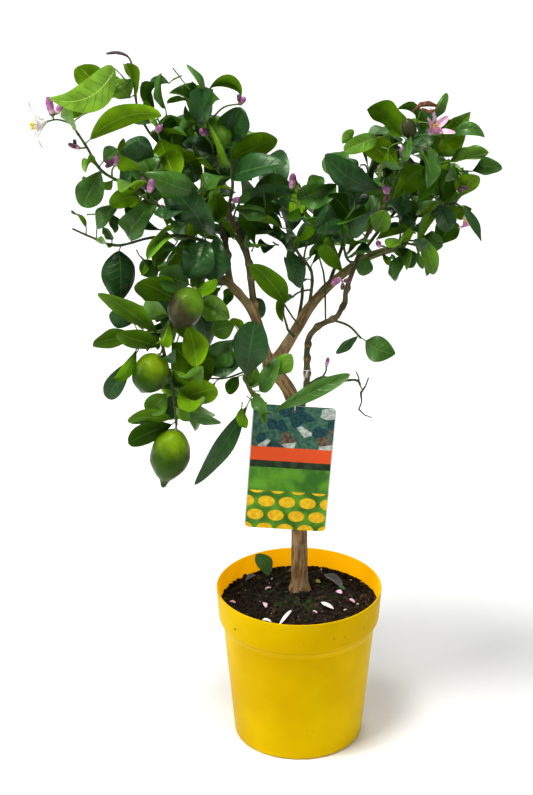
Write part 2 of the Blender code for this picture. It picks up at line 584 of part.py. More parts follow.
def fruit_profile(length, radius, nipple):
    """Radius and distance from the stalk end of a fruit that narrows to a nipple at its far end."""
    body = length * (1 - nipple)
    points = [(0.0, 0.0)]
    for k in range(1, 8):
        angle = math.pi * k / 8
        share = (1 - math.cos(angle)) / 2
        girth = math.sin(angle) ** 0.9
        points.append((radius * girth * (1 - 0.25 * nipple * share), body * share))
    points.append((radius * (0.18 + nipple * 0.6), body * 0.985))
    points.append((radius * (0.08 + nipple * 0.3), body + (length - body) * 0.6))
    points.append((0.0, length))
    return points


def grow_buds(crown, starts):
    for mass, middle, length, thickness in BUDS:
        middle = centimetres(middle)
        path, distance = nearest_branch(crown, mass, middle, starts)
        outward = (middle - path.point(distance)).normalized()
        twig = grow_twig(crown, mass, middle - outward * length * MM * 0.35, starts)
        if twig is None:
            crown.skipped += 1
            continue
        turn = UP.rotation_difference(outward)
        rings = [[middle + turn @ Vector((math.cos(a) * r, math.sin(a) * r, z))
                  for a in (2 * math.pi * k / 6 for k in range(6))]
                 for r, z in bud_rings(length * MM, thickness * MM)]
        shape = crown.shape(mass, "bud", *ring_shell(rings))
        if crown.free(shape, {(mass, "wood"), (mass, "bud")}):
            crown.shapes.append(shape)
            crown.buds.append((mass, middle, outward, length * MM, thickness * MM))
        else:
            crown.skipped += 1


def bud_rings(length, thickness):
    return [(0.6 * thickness / 2, -0.42 * length), (thickness / 2, 0), (0.6 * thickness / 2, 0.42 * length)]


def grow_flowers(crown, starts):
    for mass, middle, facing, length, petals, spread in FLOWERS:
        middle = centimetres(middle)
        facing = Vector(facing).normalized()
        twig = grow_twig(crown, mass, middle, starts)
        root = twig.point(twig.length - 1 * MM) if twig else middle
        across = facing.orthogonal().normalized()
        for k in range(petals):
            around = Quaternion(facing, 2 * math.pi * (k + 0.3) / petals) @ across
            lean = math.radians(spread * (0.8 + 0.1 * (k % 3)))
            out = facing * math.cos(lean) + around * math.sin(lean)
            foot = middle + out * 2 * MM
            tip = middle + out * length * CM
            petal = Leaf(mass, root, foot, tip, -around, PETAL_WIDTH, PETAL_BEND, PETAL_FOLD, OVER, "petal")
            place_leaf(crown, petal, {(mass, "wood"), (mass, "petal"), (mass, "bud")})


def grow_signature_leaves(crown, starts):
    for mass, (_, _, _, _, rows, _) in MASSES.items():
        chance = random.Random(mass)
        for foot, tip, face, *extra in rows:
            foot, tip = centimetres(foot), centimetres(tip)
            width = extra[0] * CM if extra else usual_width((tip - foot).length)
            bend = extra[1] if len(extra) > 1 else chance.uniform(0.35, 0.8)
            node = tie_leaf(crown, mass, foot, tip, starts)
            if node is None:
                crown.skipped += 1
                continue
            facing = Vector((chance.uniform(-0.35, 0.35), -0.85, 0.5) if face == OVER else
                            (chance.uniform(-0.35, 0.35), 0.8, 0.35))
            fold = chance.uniform(0.15, 0.45)
            for trial in range(TRIES):
                swing = Quaternion(UP, (-1) ** trial * 0.05 * trial)
                less = 1 - 0.02 * trial
                reach = swing @ (tip - foot) * less
                ahead = reach.normalized() * 0.8 * MM * trial
                leaf = Leaf(mass, node, foot + ahead, foot + reach, facing, width * less, bend, fold, face)
                if place_leaf(crown, leaf):
                    break
            else:
                crown.skipped += 1


def grow_shoots(crown, starts):
    """Shoots that leave a mass's stem round its sides by a seeded rule."""
    for mass, (*_, (count, length)) in MASSES.items():
        chance = random.Random(mass + " shoots")
        stem = crown.branches[mass][0]
        for k in range(count):
            distance = stem.length * (0.3 + 0.7 * (k + 0.5) / count)
            along = stem.tangent(distance)
            around = Quaternion(along, GOLDEN_ANGLE * k + chance.uniform(-0.4, 0.4)) @ along.orthogonal()
            for trial in range(TRIES):
                out = Quaternion(along, 0.7 * trial) @ around.normalized()
                lean = chance.uniform(0.6, 1.1)
                way = (along * math.cos(lean) + out * math.sin(lean) + UP * 0.25).normalized()
                target = stem.point(distance) + way * length * CM * chance.uniform(0.75, 1.15)
                if in_sky(target):
                    continue
                if grow_twig(crown, mass, target, starts):
                    break


def in_sky(point):
    """Whether a point lies beyond the crown's reach or in one of its openings."""
    x, z = point.x / CM, point.z / CM
    if not REACH[0] < x < REACH[1] or z > REACH[2]:
        return True
    return any(((x - middle) / wide) ** 2 + ((z - height) / tall) ** 2 < 1
               for middle, height, wide, tall in SKY)


def grow_rule_leaves(crown, starts):
    """Leaves up each branch at even internodes, each turned on by the golden angle, and one at its tip."""
    for mass, (*_, (count, _)) in MASSES.items():
        if mass == "bare_twig":
            continue
        chance = random.Random(mass + " leaves")
        size = 6 * CM if count > 3 else 5 * CM
        turn = chance.uniform(0, 6)
        for path in list(crown.branches[mass]):
            first = path.length - 1 * MM
            last = 0.014 if path is not crown.branches[mass][0] else starts[mass] + path.length * 0.22
            places = max(0, int((first - last) / INTERNODE) + 1)
            for k in range(places):
                node = path.point(first - k * INTERNODE)
                along = path.tangent(first - k * INTERNODE)
                turn += GOLDEN_ANGLE
                near = [leaf for leaf in crown.leaves if (leaf.node - node).length < 0.35 * INTERNODE]
                if near:
                    continue
                for trial in range(TRIES):
                    around = Quaternion(along, turn + 0.75 * trial) @ along.orthogonal().normalized()
                    lean = chance.uniform(0.25, 0.6) if k == 0 and trial < 3 else chance.uniform(0.8, 1.25)
                    way = along * math.cos(lean) + around * math.sin(lean) + UP * chance.uniform(-0.25, 0.3)
                    way.normalize()
                    length = size * chance.uniform(0.75, 1.15) * (1 - 0.04 * trial)
                    foot = node + way * PETIOLE
                    tip = foot + way * length
                    if in_sky(tip) or in_sky(foot.lerp(tip, 0.5)):
                        continue
                    facing = UP + around * 0.3 + Vector((0, -0.9, 0)) * chance.random()
                    leaf = Leaf(mass, node, foot, tip, facing, usual_width(length) * 0.93,
                                chance.uniform(0.3, 1.0), chance.uniform(0.2, 0.6), OVER)
                    if place_leaf(crown, leaf):
                        break


def grow():
    """The whole plant: limbs, then stems, fruit, buds and flowers, then leaves."""
    crown = Crown()
    limb_starts = grow_limbs(crown)
    starts = grow_stems(crown)
    grow_fruit(crown, starts)
    grow_flowers(crown, starts)
    grow_buds(crown, starts)
    grow_signature_leaves(crown, starts)
    grow_shoots(crown, starts)
    grow_rule_leaves(crown, starts)
    return crown, limb_starts, starts


def mesh_object(name, vertices, faces, collection, look):
    data = bpy.data.meshes.new(name)
    data.from_pydata([tuple(v) for v in vertices], [], faces)
    data.validate()
    build = bmesh.new()
    build.from_mesh(data)
    bmesh.ops.recalc_face_normals(build, faces=build.faces)
    build.to_mesh(data)
    build.free()
    data.materials.append(look)
    made = bpy.data.objects.new(name, data)
    collection.objects.link(made)
    return made


def curve_tube(name, samples, sides, collection, look):
    """A tube as a poly curve whose bevel follows each point's radius, made a mesh with its caps welded."""
    data = bpy.data.curves.new(name, "CURVE")
    data.dimensions = "3D"
    data.bevel_depth = 1
    data.bevel_resolution = (sides - 4) // 2
    data.use_fill_caps = True
    data.twist_mode = "MINIMUM"
    spline = data.splines.new("POLY")
    spline.points.add(len(samples) - 1)
    for target, (point, radius) in zip(spline.points, samples):
        target.co = (*point, 1)
        target.radius = radius
    guide = bpy.data.objects.new(name + "_guide", data)
    collection.objects.link(guide)
    return made_mesh(guide, name, collection, look)


def made_mesh(source, name, collection, look):
    """A plain mesh object from a curve or from an object with modifiers, which is then removed."""
    evaluated = source.evaluated_get(bpy.context.evaluated_depsgraph_get())
    data = bpy.data.meshes.new_from_object(evaluated)
    build = bmesh.new()
    build.from_mesh(data)
    bmesh.ops.remove_doubles(build, verts=build.verts, dist=1e-6)
    bmesh.ops.recalc_face_normals(build, faces=build.faces)
    build.to_mesh(data)
    build.free()
    data.materials.clear()
    data.materials.append(look)
    made = bpy.data.objects.new(name, data)
    made.matrix_world = source.matrix_world
    collection.objects.link(made)
    bpy.data.objects.remove(source)
    return made


def thinnest(build):
    """The least height of any triangle, or nothing where the surface isn't closed."""
    if not all(edge.is_manifold for edge in build.edges):
        return 0.0
    return min(2 * face.calc_area() / max(edge.calc_length() for edge in face.edges) for face in build.faces)


def without_slivers(build):
    """The surface cleaned in the way that leaves its thinnest triangle thickest."""
    bmesh.ops.triangulate(build, faces=build.faces)
    best, height = build, thinnest(build)
    for distance in SLIVERS:
        for angle in (None, FLAT_ANGLE):
            trial = build.copy()
            bmesh.ops.remove_doubles(trial, verts=trial.verts, dist=distance)
            if angle:
                bmesh.ops.dissolve_limit(trial, angle_limit=angle, verts=trial.verts, edges=trial.edges)
                bmesh.ops.triangulate(trial, faces=trial.faces)
            found = thinnest(trial)
            if found > height:
                best, height = trial, found
    return best


def keep_largest_body(data):
    """Drops slivers, loose scraps and the inner skins of sealed hollows that joining leaves."""
    build = bmesh.new()
    build.from_mesh(data)
    build = without_slivers(build)
    left = set(build.faces)
    bodies = []
    while left:
        body, edge = set(), [left.pop()]
        while edge:
            face = edge.pop()
            body.add(face)
            for side in face.edges:
                for other in side.link_faces:
                    if other in left:
                        left.remove(other)
                        edge.append(other)
        bodies.append(body)
    bodies.sort(key=len, reverse=True)
    loose = [face for body in bodies[1:] for face in body]
    bmesh.ops.delete(build, geom=loose, context="FACES")
    build.to_mesh(data)
    build.free()
    return len(bodies) - 1


def joined(body, extras, name, collection, look):
    """One solid from a body and the pieces sunk into it.

    A mass has petioles that nearly touch its twigs, which only the manifold solver joins cleanly.
    """
    body.name = name + "_body"
    pieces = bpy.data.collections.new(name + "_pieces")
    bpy.context.scene.collection.children.link(pieces)
    for piece in extras:
        collection.objects.unlink(piece)
        pieces.objects.link(piece)
    union = body.modifiers.new("Join", "BOOLEAN")
    union.operation = "UNION"
    union.operand_type = "COLLECTION"
    union.collection = pieces
    if name in MASSES:
        union.solver = "MANIFOLD"
    made = made_mesh(body, name, collection, look)
    for piece in extras:
        bpy.data.objects.remove(piece)
    bpy.data.collections.remove(pieces)
    dropped = keep_largest_body(made.data)
    print(f"{name}: {len(made.data.polygons)} faces, {dropped} loose bodies dropped")
    return made


def turned(name, profile, collection, look):
    """A solid of revolution about Z. The profile runs down its outer side, from the axis to the axis."""
    data = bpy.data.meshes.new(name)
    edges = [(k, k + 1) for k in range(len(profile) - 1)]
    data.from_pydata([(radius, 0, height) for radius, height in profile], edges, [])
    profile_line = bpy.data.objects.new(name + "_profile", data)
    collection.objects.link(profile_line)
    screw = profile_line.modifiers.new("Turn", "SCREW")
    screw.steps = TURN_STEPS
    screw.render_steps = TURN_STEPS
    screw.use_merge_vertices = True
    screw.merge_threshold = 0.00001
    return made_mesh(profile_line, name, collection, look)


def pot_profile():
    """Down the outer side from the lip, across the underside, and back up the inner side."""
    lip = POT_WALL / 2
    outer = [(RIM_RADIUS - lip, POT_HEIGHT), (RIM_RADIUS, POT_HEIGHT - lip),
             (COLLAR_FOOT_RADIUS + 0.0005, COLLAR_FOOT + 0.003), (COLLAR_FOOT_RADIUS - 0.0007, COLLAR_FOOT),
             (BODY_TOP_RADIUS + 0.0015, BODY_TOP + 0.002), (BODY_TOP_RADIUS, BODY_TOP - 0.002),
             (BASE_RADIUS + 0.0004, 0.004), (BASE_RADIUS - 0.0012, 0.001), (BASE_RADIUS - 0.003, 0)]
    return [(0, POT_FLOOR), *reversed(pot_inside(0.0)), *outer, (0, 0)]


def pot_inside(gap):
    """The inner wall from the lip down to the floor, moved inwards by a gap."""
    wall = POT_WALL + gap
    return [(RIM_RADIUS - wall, POT_HEIGHT - POT_WALL / 2), (COLLAR_FOOT_RADIUS - wall, COLLAR_FOOT + 0.002),
            (BODY_TOP_RADIUS - wall, BODY_TOP), (BASE_RADIUS - wall, POT_FLOOR + gap)]


def soil_profile():
    """A mound, highest and flat round the trunk, that fills the pot to its floor."""
    rim, collar, body, floor = pot_inside(GAP)
    share = (SOIL_EDGE - collar[1]) / (rim[1] - collar[1])
    edge = collar[0] + (rim[0] - collar[0]) * share
    mound = [(0, SOIL_CROWN), (SOIL_FLAT_RADIUS, SOIL_CROWN)]
    for k in (1, 2, 3):
        turn = math.pi * k / 4
        fall = (1 - math.cos(turn)) / 2
        mound.append((SOIL_FLAT_RADIUS + (edge - SOIL_FLAT_RADIUS) * k / 4,
                      SOIL_CROWN + (SOIL_EDGE - SOIL_CROWN) * fall))
    return [*mound, (edge, SOIL_EDGE), collar, body, floor, (0, floor[1])]


def build_pot_and_soil(parts):
    pot = turned("pot", pot_profile(), parts, material("Yellow plastic", COLOURS["pot"], 0.28))
    soil = turned("soil", soil_profile(), parts, material("Potting soil", COLOURS["soil"], 0.95))
    for made in (pot, soil):
        made.data.shade_smooth()
        made.data.set_sharp_from_angle(angle=math.radians(35))


def flared(samples):
    """The trunk's foot spreads to its root flare just above the soil."""
    foot = samples[0][0].z
    return [(point, radius + ROOT_FLARE * max(0, 1 - (point.z - foot) / FLARE_HEIGHT) ** 2)
            for point, radius in samples]


def build_limbs(crown, starts, parts, bark):
    limbs = list(crown.limbs.values())
    for name, path in crown.limbs.items():
        samples = path.samples(starts[name], squared=True)
        if name == "trunk":
            low = [(path.point(d), path.radius(d)) for d in (0, 0.003, 0.007)]
            samples = flared(low + path.samples(0.012))
        body = curve_tube(name, samples, TRUNK_SIDES if name == "trunk" else LIMB_SIDES, parts, bark)
        if not crown.stubs[name]:
            continue
        collars = []
        for number, (stub, cut) in enumerate(crown.stubs[name]):
            root = [(stub.point(0), stub.radius(0) * 0.96), (stub.point(cut * 0.6), stub.radius(0) * 1.03),
                    (stub.point(cut - END_STEP), stub.radius(cut)), (stub.point(cut), stub.radius(cut))]
            sides = LIMB_SIDES if stub in limbs else STEM_SIDES
            collars.append(curve_tube(f"{name}_collar_{number}", root, sides, parts, bark))
        joined(body, collars, name, parts, bark)


def fruit_object(name, stalk, end, radius, nipple, parts, look):
    profile = [(r, -z) for r, z in fruit_profile((end - stalk).length, radius, nipple)]
    data = bpy.data.meshes.new(name)
    data.from_pydata([(r, 0, z) for r, z in profile], [(k, k + 1) for k in range(len(profile) - 1)], [])
    made = bpy.data.objects.new(name + "_profile", data)
    parts.objects.link(made)
    turn = (-UP).rotation_difference(end - stalk)
    made.matrix_world = Matrix.Translation(stalk) @ turn.to_matrix().to_4x4()
    screw = made.modifiers.new("Turn", "SCREW")
    screw.steps = 10
    screw.render_steps = 10
    screw.use_merge_vertices = True
    screw.merge_threshold = 0.00001
    bpy.context.view_layer.update()
    return made_mesh(made, name, parts, look)


def bud_object(name, middle, outward, length, thickness, parts, look):
    build = bmesh.new()
    bmesh.ops.create_uvsphere(build, u_segments=5, v_segments=4, radius=0.5)
    turn = UP.rotation_difference(outward).to_matrix().to_4x4()
    size = Matrix.Diagonal((thickness, thickness, length, 1))
    bmesh.ops.transform(build, matrix=Matrix.Translation(middle) @ turn @ size, verts=build.verts)
    data = bpy.data.meshes.new(name)
    build.to_mesh(data)
    build.free()
    data.materials.append(look)
    made = bpy.data.objects.new(name, data)
    parts.objects.link(made)
    return made


def build_masses(crown, starts, parts, green):
    for mass in MASSES:
        stem, *twigs = crown.branches[mass]
        body = curve_tube(mass, stem.samples(starts[mass], squared=True), STEM_SIDES, parts, green)
        pieces = []
        for number, twig in enumerate(twigs):
            rings = tube_rings(twig.samples(), 3)
            pieces.append(mesh_object(f"{mass}_twig_{number}", *ring_shell(rings), parts, green))
        for number, leaf in enumerate(leaf for leaf in crown.leaves if leaf.mass == mass):
            pieces.append(mesh_object(f"{mass}_leaf_{number}", *leaf.solid(), parts, green))
        for number, fruit in enumerate(fruit for fruit in crown.fruits if fruit[0] == mass):
            pieces.append(fruit_object(f"{mass}_fruit_{number}", *fruit[1:], parts, green))
        for number, bud in enumerate(bud for bud in crown.buds if bud[0] == mass):
            pieces.append(bud_object(f"{mass}_bud_{number}", *bud[1:], parts, green))
        joined(body, pieces, mass, parts, green)


def front_at(path, height):
    """How far forward a limb's surface stands at a height."""
    distances = [k * MM for k in range(round(path.length / MM))]
    distance = min(distances, key=lambda d: abs(path.point(d).z - height))
    return path.point(distance).y - path.radius(distance)


def label_place(crown):
    """The card's place: it leans with its foot on the trunk and its head on the front bough."""
    foot = front_at(crown.limbs["trunk"], LABEL_LEVEL - LABEL_HEIGHT / 2)
    head = front_at(crown.limbs["front_bough"], LABEL_LEVEL + LABEL_HEIGHT / 2)
    middle = (foot + head) / 2 - GAP - LABEL_THICKNESS / 2
    lean = math.atan2(foot - head, LABEL_HEIGHT)
    return (Matrix.Translation((LABEL_MIDDLE, middle, LABEL_LEVEL)) @ Matrix.Rotation(LABEL_ROLL, 4, "Y")
            @ Matrix.Rotation(lean, 4, "X"))


def build_label(place, parts, cutters):
    """A thin card with rounded corners and a punched hole, hanging in front of the trunk."""
    build = bmesh.new()
    bmesh.ops.create_cube(build, size=1)
    size = Matrix.Diagonal((LABEL_WIDTH, LABEL_THICKNESS, LABEL_HEIGHT, 1))
    bmesh.ops.transform(build, matrix=size, verts=build.verts)
    corners = [edge for edge in build.edges if edge.verts[0].co.y * edge.verts[1].co.y < 0]
    bmesh.ops.bevel(build, geom=corners, offset=LABEL_CORNER, segments=5, profile=0.5, affect="EDGES")
    data = bpy.data.meshes.new("label_card")
    build.to_mesh(data)
    build.free()
    data.materials.append(material("Printed card", COLOURS["label"], 0.35))
    card = bpy.data.objects.new("label_card", data)
    card.matrix_world = place
    parts.objects.link(card)
    build = bmesh.new()
    bmesh.ops.create_cone(build, cap_ends=True, segments=12, radius1=LABEL_HOLE_RADIUS,
                          radius2=LABEL_HOLE_RADIUS, depth=LABEL_THICKNESS * 8)
    data = bpy.data.meshes.new("label_hole")
    build.to_mesh(data)
    build.free()
    hole = bpy.data.objects.new("label_hole", data)
    drop = Matrix.Translation((0, 0, LABEL_HEIGHT / 2 - LABEL_HOLE_DROP))
    hole.matrix_world = place @ drop @ Matrix.Rotation(math.pi / 2, 4, "X")
    hole.hide_render = True
    hole.display_type = "WIRE"
    cutters.objects.link(hole)
    punch = card.modifiers.new("Punch", "BOOLEAN")
    punch.operation = "DIFFERENCE"
    punch.object = hole


def build_thread(crown, place, parts):
    """A loop round the front bough, a strand down to the label and a link through the label's hole."""
    white = material("Cotton thread", COLOURS["thread"], 0.8)
    bough = crown.limbs["front_bough"]
    distance = min((k * 0.002 for k in range(round(bough.length / 0.002))),
                   key=lambda d: abs(bough.point(d).z - THREAD_HEIGHT))
    centre, along = bough.point(distance), bough.tangent(distance)
    loop = bough.radius(distance) + 2 * GAP + THREAD_RADIUS
    front = perpendicular(Vector((0, -1, 0)), along)
    knot = centre + front * (loop + THREAD_RADIUS)
    pieces = [ring("thread_loop", centre, along, loop, parts, white)]
    edge = LABEL_HEIGHT / 2 - LABEL_HOLE_DROP + LABEL_HOLE_RADIUS
    link_centre = place @ Vector((0, 0, edge - GAP - THREAD_RADIUS + THREAD_LINK_RADIUS))
    across = (place.to_3x3() @ Vector((1, 0, 0))).normalized()
    pieces.append(ring("thread_link", link_centre, across, THREAD_LINK_RADIUS, parts, white))
    start = link_centre + perpendicular(knot - link_centre, across) * THREAD_LINK_RADIUS
    middle = start.lerp(knot, 0.5) + front * 1.2 * MM
    strand = Path([start, middle, knot], (THREAD_RADIUS, THREAD_RADIUS), 0.006)
    pieces.append(curve_tube("thread_strand", strand.samples(), 4, parts, white))
    build = bmesh.new()
    bmesh.ops.create_icosphere(build, subdivisions=1, radius=THREAD_RADIUS * 3)
    bmesh.ops.translate(build, vec=knot + front * THREAD_RADIUS, verts=build.verts)
    data = bpy.data.meshes.new("thread_knot")
    build.to_mesh(data)
    build.free()
    data.materials.append(white)
    body = bpy.data.objects.new("thread_knot", data)
    parts.objects.link(body)
    joined(body, pieces, "label_thread", parts, white)


def ring(name, centre, axis, radius, parts, look):
    """A closed ring of thread."""
    across = axis.orthogonal().normalized()
    other = axis.cross(across)
    data = bpy.data.curves.new(name, "CURVE")
    data.dimensions = "3D"
    data.bevel_depth = THREAD_RADIUS
    data.bevel_resolution = 0
    spline = data.splines.new("POLY")
    spline.points.add(11)
    spline.use_cyclic_u = True
    for k, target in enumerate(spline.points):
        turn = 2 * math.pi * k / 12
        target.co = (*(centre + radius * (math.cos(turn) * across + math.sin(turn) * other)), 1)
    guide = bpy.data.objects.new(name + "_guide", data)
    parts.objects.link(guide)
    return made_mesh(guide, name, parts, look)


def main():
    for thing in list(bpy.data.objects):
        bpy.data.objects.remove(thing)
    parts = bpy.data.collections.new("Potted lemon tree")
    cutters = bpy.data.collections.new("Cutters")
    for collection in (parts, cutters):
        bpy.context.scene.collection.children.link(collection)
    crown, limb_starts, stem_starts = grow()
    print(f"{len(crown.leaves)} leaves, {sum(map(len, crown.branches.values()))} branches,"
          f" {len(crown.buds)} buds, {crown.skipped} skipped")
    build_pot_and_soil(parts)
    build_limbs(crown, limb_starts, parts, material("Bark", COLOURS["bark"], 0.85))
    build_masses(crown, stem_starts, parts, material("Foliage", COLOURS["foliage"], 0.45))
    place = label_place(crown)
    build_label(place, parts, cutters)
    build_thread(crown, place, parts)


main()
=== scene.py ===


# %% [markdown]
# # A lemon tree in a yellow nursery pot
#
# A young lemon tree, 81 cm tall with its pot, stands in a glossy yellow plastic pot. Its trunk forks at half
# height, and a loose crown of long folded leaves carries purple buds, white flowers and green fruit. The
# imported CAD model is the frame: every length here is in metres, with +Z up and the origin under the pot, and
# each piece goes where the frame has it. The cells build the tools first, then the same growth rule that
# placed the frame's leaves, then each piece of the plant and its finish.

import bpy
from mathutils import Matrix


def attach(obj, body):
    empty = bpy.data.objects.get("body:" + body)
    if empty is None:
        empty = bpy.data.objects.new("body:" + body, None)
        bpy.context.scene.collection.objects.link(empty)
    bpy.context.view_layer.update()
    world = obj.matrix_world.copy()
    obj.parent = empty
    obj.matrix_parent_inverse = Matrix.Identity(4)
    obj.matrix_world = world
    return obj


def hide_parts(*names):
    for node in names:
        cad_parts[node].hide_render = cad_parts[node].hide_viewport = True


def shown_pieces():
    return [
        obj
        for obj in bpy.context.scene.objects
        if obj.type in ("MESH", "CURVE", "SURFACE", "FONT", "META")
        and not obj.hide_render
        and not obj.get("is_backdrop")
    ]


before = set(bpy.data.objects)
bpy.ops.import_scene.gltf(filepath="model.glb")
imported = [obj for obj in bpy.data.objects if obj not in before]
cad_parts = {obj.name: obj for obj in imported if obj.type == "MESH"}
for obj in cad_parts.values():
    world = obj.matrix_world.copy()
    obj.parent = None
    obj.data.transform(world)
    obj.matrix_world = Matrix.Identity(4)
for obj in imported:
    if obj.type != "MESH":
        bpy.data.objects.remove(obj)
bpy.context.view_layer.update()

# %% [markdown]
# ## Drawing with nodes
#
# Materials and Geometry Nodes trees are both graphs of nodes. They could be wired up link by link, but the
# sums would be hard to read. A small class wraps an output socket, so that arithmetic written in Python adds
# the Math nodes, and one method adds any other node with its settings and its sockets.

# %% Wires and sheets
import math
import random

import bmesh
import bpy
import numpy as np
from mathutils import Matrix, Quaternion, Vector, noise
from mathutils.bvhtree import BVHTree
from mathutils.kdtree import KDTree


def find(sockets, name):
    """A node's socket by its name, or by its place among the sockets in use."""
    used = [socket for socket in sockets if socket.enabled]
    return used[name] if isinstance(name, int) else next(s for s in used if s.name == name)


def has_parts(value):
    """Whether a value is a vector or a colour, and so needs Vector Math."""
    if isinstance(value, Wire):
        return value.socket.type in ("VECTOR", "RGBA")
    return isinstance(value, (tuple, Vector))


class Wire:
    """A node's output. Arithmetic on it adds the nodes that work it out."""

    def __init__(self, sheet, socket):
        self.sheet = sheet
        self.socket = socket

    def output(self, name):
        return Wire(self.sheet, find(self.socket.node.outputs, name))

    def __abs__(self):
        return self.sheet.reckon("ABSOLUTE", self)


def operator(operation, reflected):
    """A method for one kind of arithmetic, or its reflected form with the wire on the right."""
    def method(self, other):
        return self.sheet.reckon(operation, *((other, self) if reflected else (self, other)))
    return method


for word, operation in (("add", "ADD"), ("sub", "SUBTRACT"), ("mul", "MULTIPLY"), ("truediv", "DIVIDE"),
                        ("pow", "POWER")):
    setattr(Wire, f"__{word}__", operator(operation, False))
    setattr(Wire, f"__r{word}__", operator(operation, True))


class Sheet:
    """A node tree that is drawn with Python expressions."""

    def __init__(self, tree):
        self.tree = tree

    def add(self, kind, settings=(), sockets=(), out=0):
        """Any node: its settings first, then its sockets' values or links."""
        node = self.tree.nodes.new(kind)
        for name, value in dict(settings).items():
            setattr(node, name, value)
        for name, value in dict(sockets).items():
            self.set(find(node.inputs, name), value)
        return Wire(self, find(node.outputs, out))

    def set(self, socket, value):
        if isinstance(value, Wire):
            self.tree.links.new(value.socket, socket)
        elif socket.type == "RGBA" and len(value) == 3:
            socket.default_value = (*value, 1)
        else:
            socket.default_value = value

    def reckon(self, operation, *values):
        """A Math node, or a Vector Math node where a value has parts."""
        parts = [has_parts(value) for value in values]
        if not any(parts):
            return self.add("ShaderNodeMath", {"operation": operation}, dict(enumerate(values)))
        if operation == "MULTIPLY" and not all(parts):
            vector, number = sorted(values, key=has_parts, reverse=True)
            return self.add("ShaderNodeVectorMath", {"operation": "SCALE"}, {0: vector, "Scale": number})
        return self.add("ShaderNodeVectorMath", {"operation": operation}, dict(enumerate(values)))

    def join(self, x, y, z):
        return self.add("ShaderNodeCombineXYZ", (), {"X": x, "Y": y, "Z": z})

    def part(self, vector, axis="X"):
        return self.add("ShaderNodeSeparateXYZ", (), {"Vector": vector}, axis)

    def fade(self, value, low, high):
        """0 below low, 1 above high, and a smooth step between."""
        return self.add("ShaderNodeMapRange", {"interpolation_type": "SMOOTHSTEP"},
                        {"Value": value, "From Min": low, "From Max": high})


print("node tools ready")

# %% [markdown]
# ## Finishes
#
# Each finish is a Principled material. What is the same all over, such as roughness or a specular tint, is
# set on the shader's own sockets. Colour, relief and now and then roughness vary, from noise that reads the
# object's coordinates, so that the closing export can bake them.

# %% The finish class


class Finish(Sheet):
    """A Principled material with plain values, and what is drawn into its colour, roughness and relief."""

    def __init__(self, name, roughness, specular=0.5, **more):
        self.material = bpy.data.materials.new(name)
        self.material.use_nodes = True
        super().__init__(self.material.node_tree)
        self.surface = self.tree.nodes["Principled BSDF"]
        self.feed("Roughness", roughness)
        self.feed("Specular IOR Level", specular)
        for socket, value in more.items():
            self.feed(socket.replace("_", " ").title(), value)
        self.place = self.add("ShaderNodeTexCoord", out="Object")

    def feed(self, socket, value):
        self.set(self.surface.inputs[socket], value)

    def carried(self, name):
        """A number that the mesh carries."""
        return self.add("ShaderNodeAttribute", {"attribute_name": name}, out="Fac")

    def speckle(self, scale, detail=2, stretch=None):
        """Noise of a given number of grains a metre, stretched along an axis where that is asked."""
        where = self.place if stretch is None else self.place * Vector(stretch)
        return self.add("ShaderNodeTexNoise", (), {"Vector": where, "Scale": scale, "Detail": detail})

    def blend(self, share, low, high):
        """One colour passing into another."""
        return self.add("ShaderNodeMix", {"data_type": "RGBA"}, {"Factor": share, "A": low, "B": high},
                        "Result")

    def relief(self, height, strength, depth):
        self.feed("Normal", self.add("ShaderNodeBump", (), {"Height": height, "Strength": strength,
                                                            "Distance": depth}))


def mottled(name, low, high, scale, roughness, specular=0.5, grain=0.0, stretch=None, **more):
    """A finish whose colour drifts between two shades, with a fine grain for its relief."""
    made = Finish(name, roughness, specular, **more)
    made.feed("Base Color", made.blend(made.fade(made.speckle(scale, 3, stretch), 0.38, 0.62), low, high))
    if grain:
        made.relief(made.speckle(scale * 12), 0.5, grain)
    return made


print("finishes can be drawn")

# %% [markdown]
# ## Geometry Nodes trees
#
# What repeats on a plant, such as leaves, twigs and crumbs of soil, is made by Geometry Nodes: one small
# shape, placed and bent by a rule. A tree is built here with named inputs, run on a source object and turned
# into a plain mesh, because instances and live modifiers don't survive an export.

# %% The tree class
INPUT_KINDS = {float: "NodeSocketFloat", int: "NodeSocketInt", type(None): "NodeSocketObject"}


class Tree(Sheet):
    """A Geometry Nodes tree with named inputs."""

    def __init__(self, name, **inputs):
        tree = bpy.data.node_groups.new(name, "GeometryNodeTree")
        super().__init__(tree)
        for way in ("INPUT", "OUTPUT"):
            tree.interface.new_socket("Geometry", in_out=way, socket_type="NodeSocketGeometry")
        for label, value in inputs.items():
            made = tree.interface.new_socket(label, in_out="INPUT", socket_type=INPUT_KINDS[type(value)])
            if value is not None:
                made.default_value = value
        self.source = tree.nodes.new("NodeGroupInput")

    def given(self, label="Geometry"):
        return Wire(self, self.source.outputs[label])

    def kept(self, name, kind="FLOAT"):
        """An attribute that the source's points carry."""
        return self.add("GeometryNodeInputNamedAttribute", {"data_type": kind}, {"Name": name})

    def chance(self, low, high, seed):
        return self.add("FunctionNodeRandomValue", {"data_type": "FLOAT"},
                        {"Min": low, "Max": high, "Seed": seed})

    def moved(self, geometry, **to):
        return self.add("GeometryNodeSetPosition", (), {"Geometry": geometry, **to})

    def realized(self, geometry):
        return self.add("GeometryNodeRealizeInstances", (), {"Geometry": geometry})

    def painted(self, geometry, finishes, attribute):
        """Gives each face the finish whose number it carries."""
        for number, made in enumerate(finishes):
            chosen = self.add("FunctionNodeCompare", {"data_type": "FLOAT", "operation": "EQUAL"},
                              {"A": attribute, "B": float(number), "Epsilon": 0.3})
            geometry = self.add("GeometryNodeSetMaterial", (),
                                {"Geometry": geometry, "Selection": chosen, "Material": made.material})
        return geometry

    def end(self, geometry):
        self.tree.links.new(geometry.socket, self.tree.nodes.new("NodeGroupOutput").inputs[0])


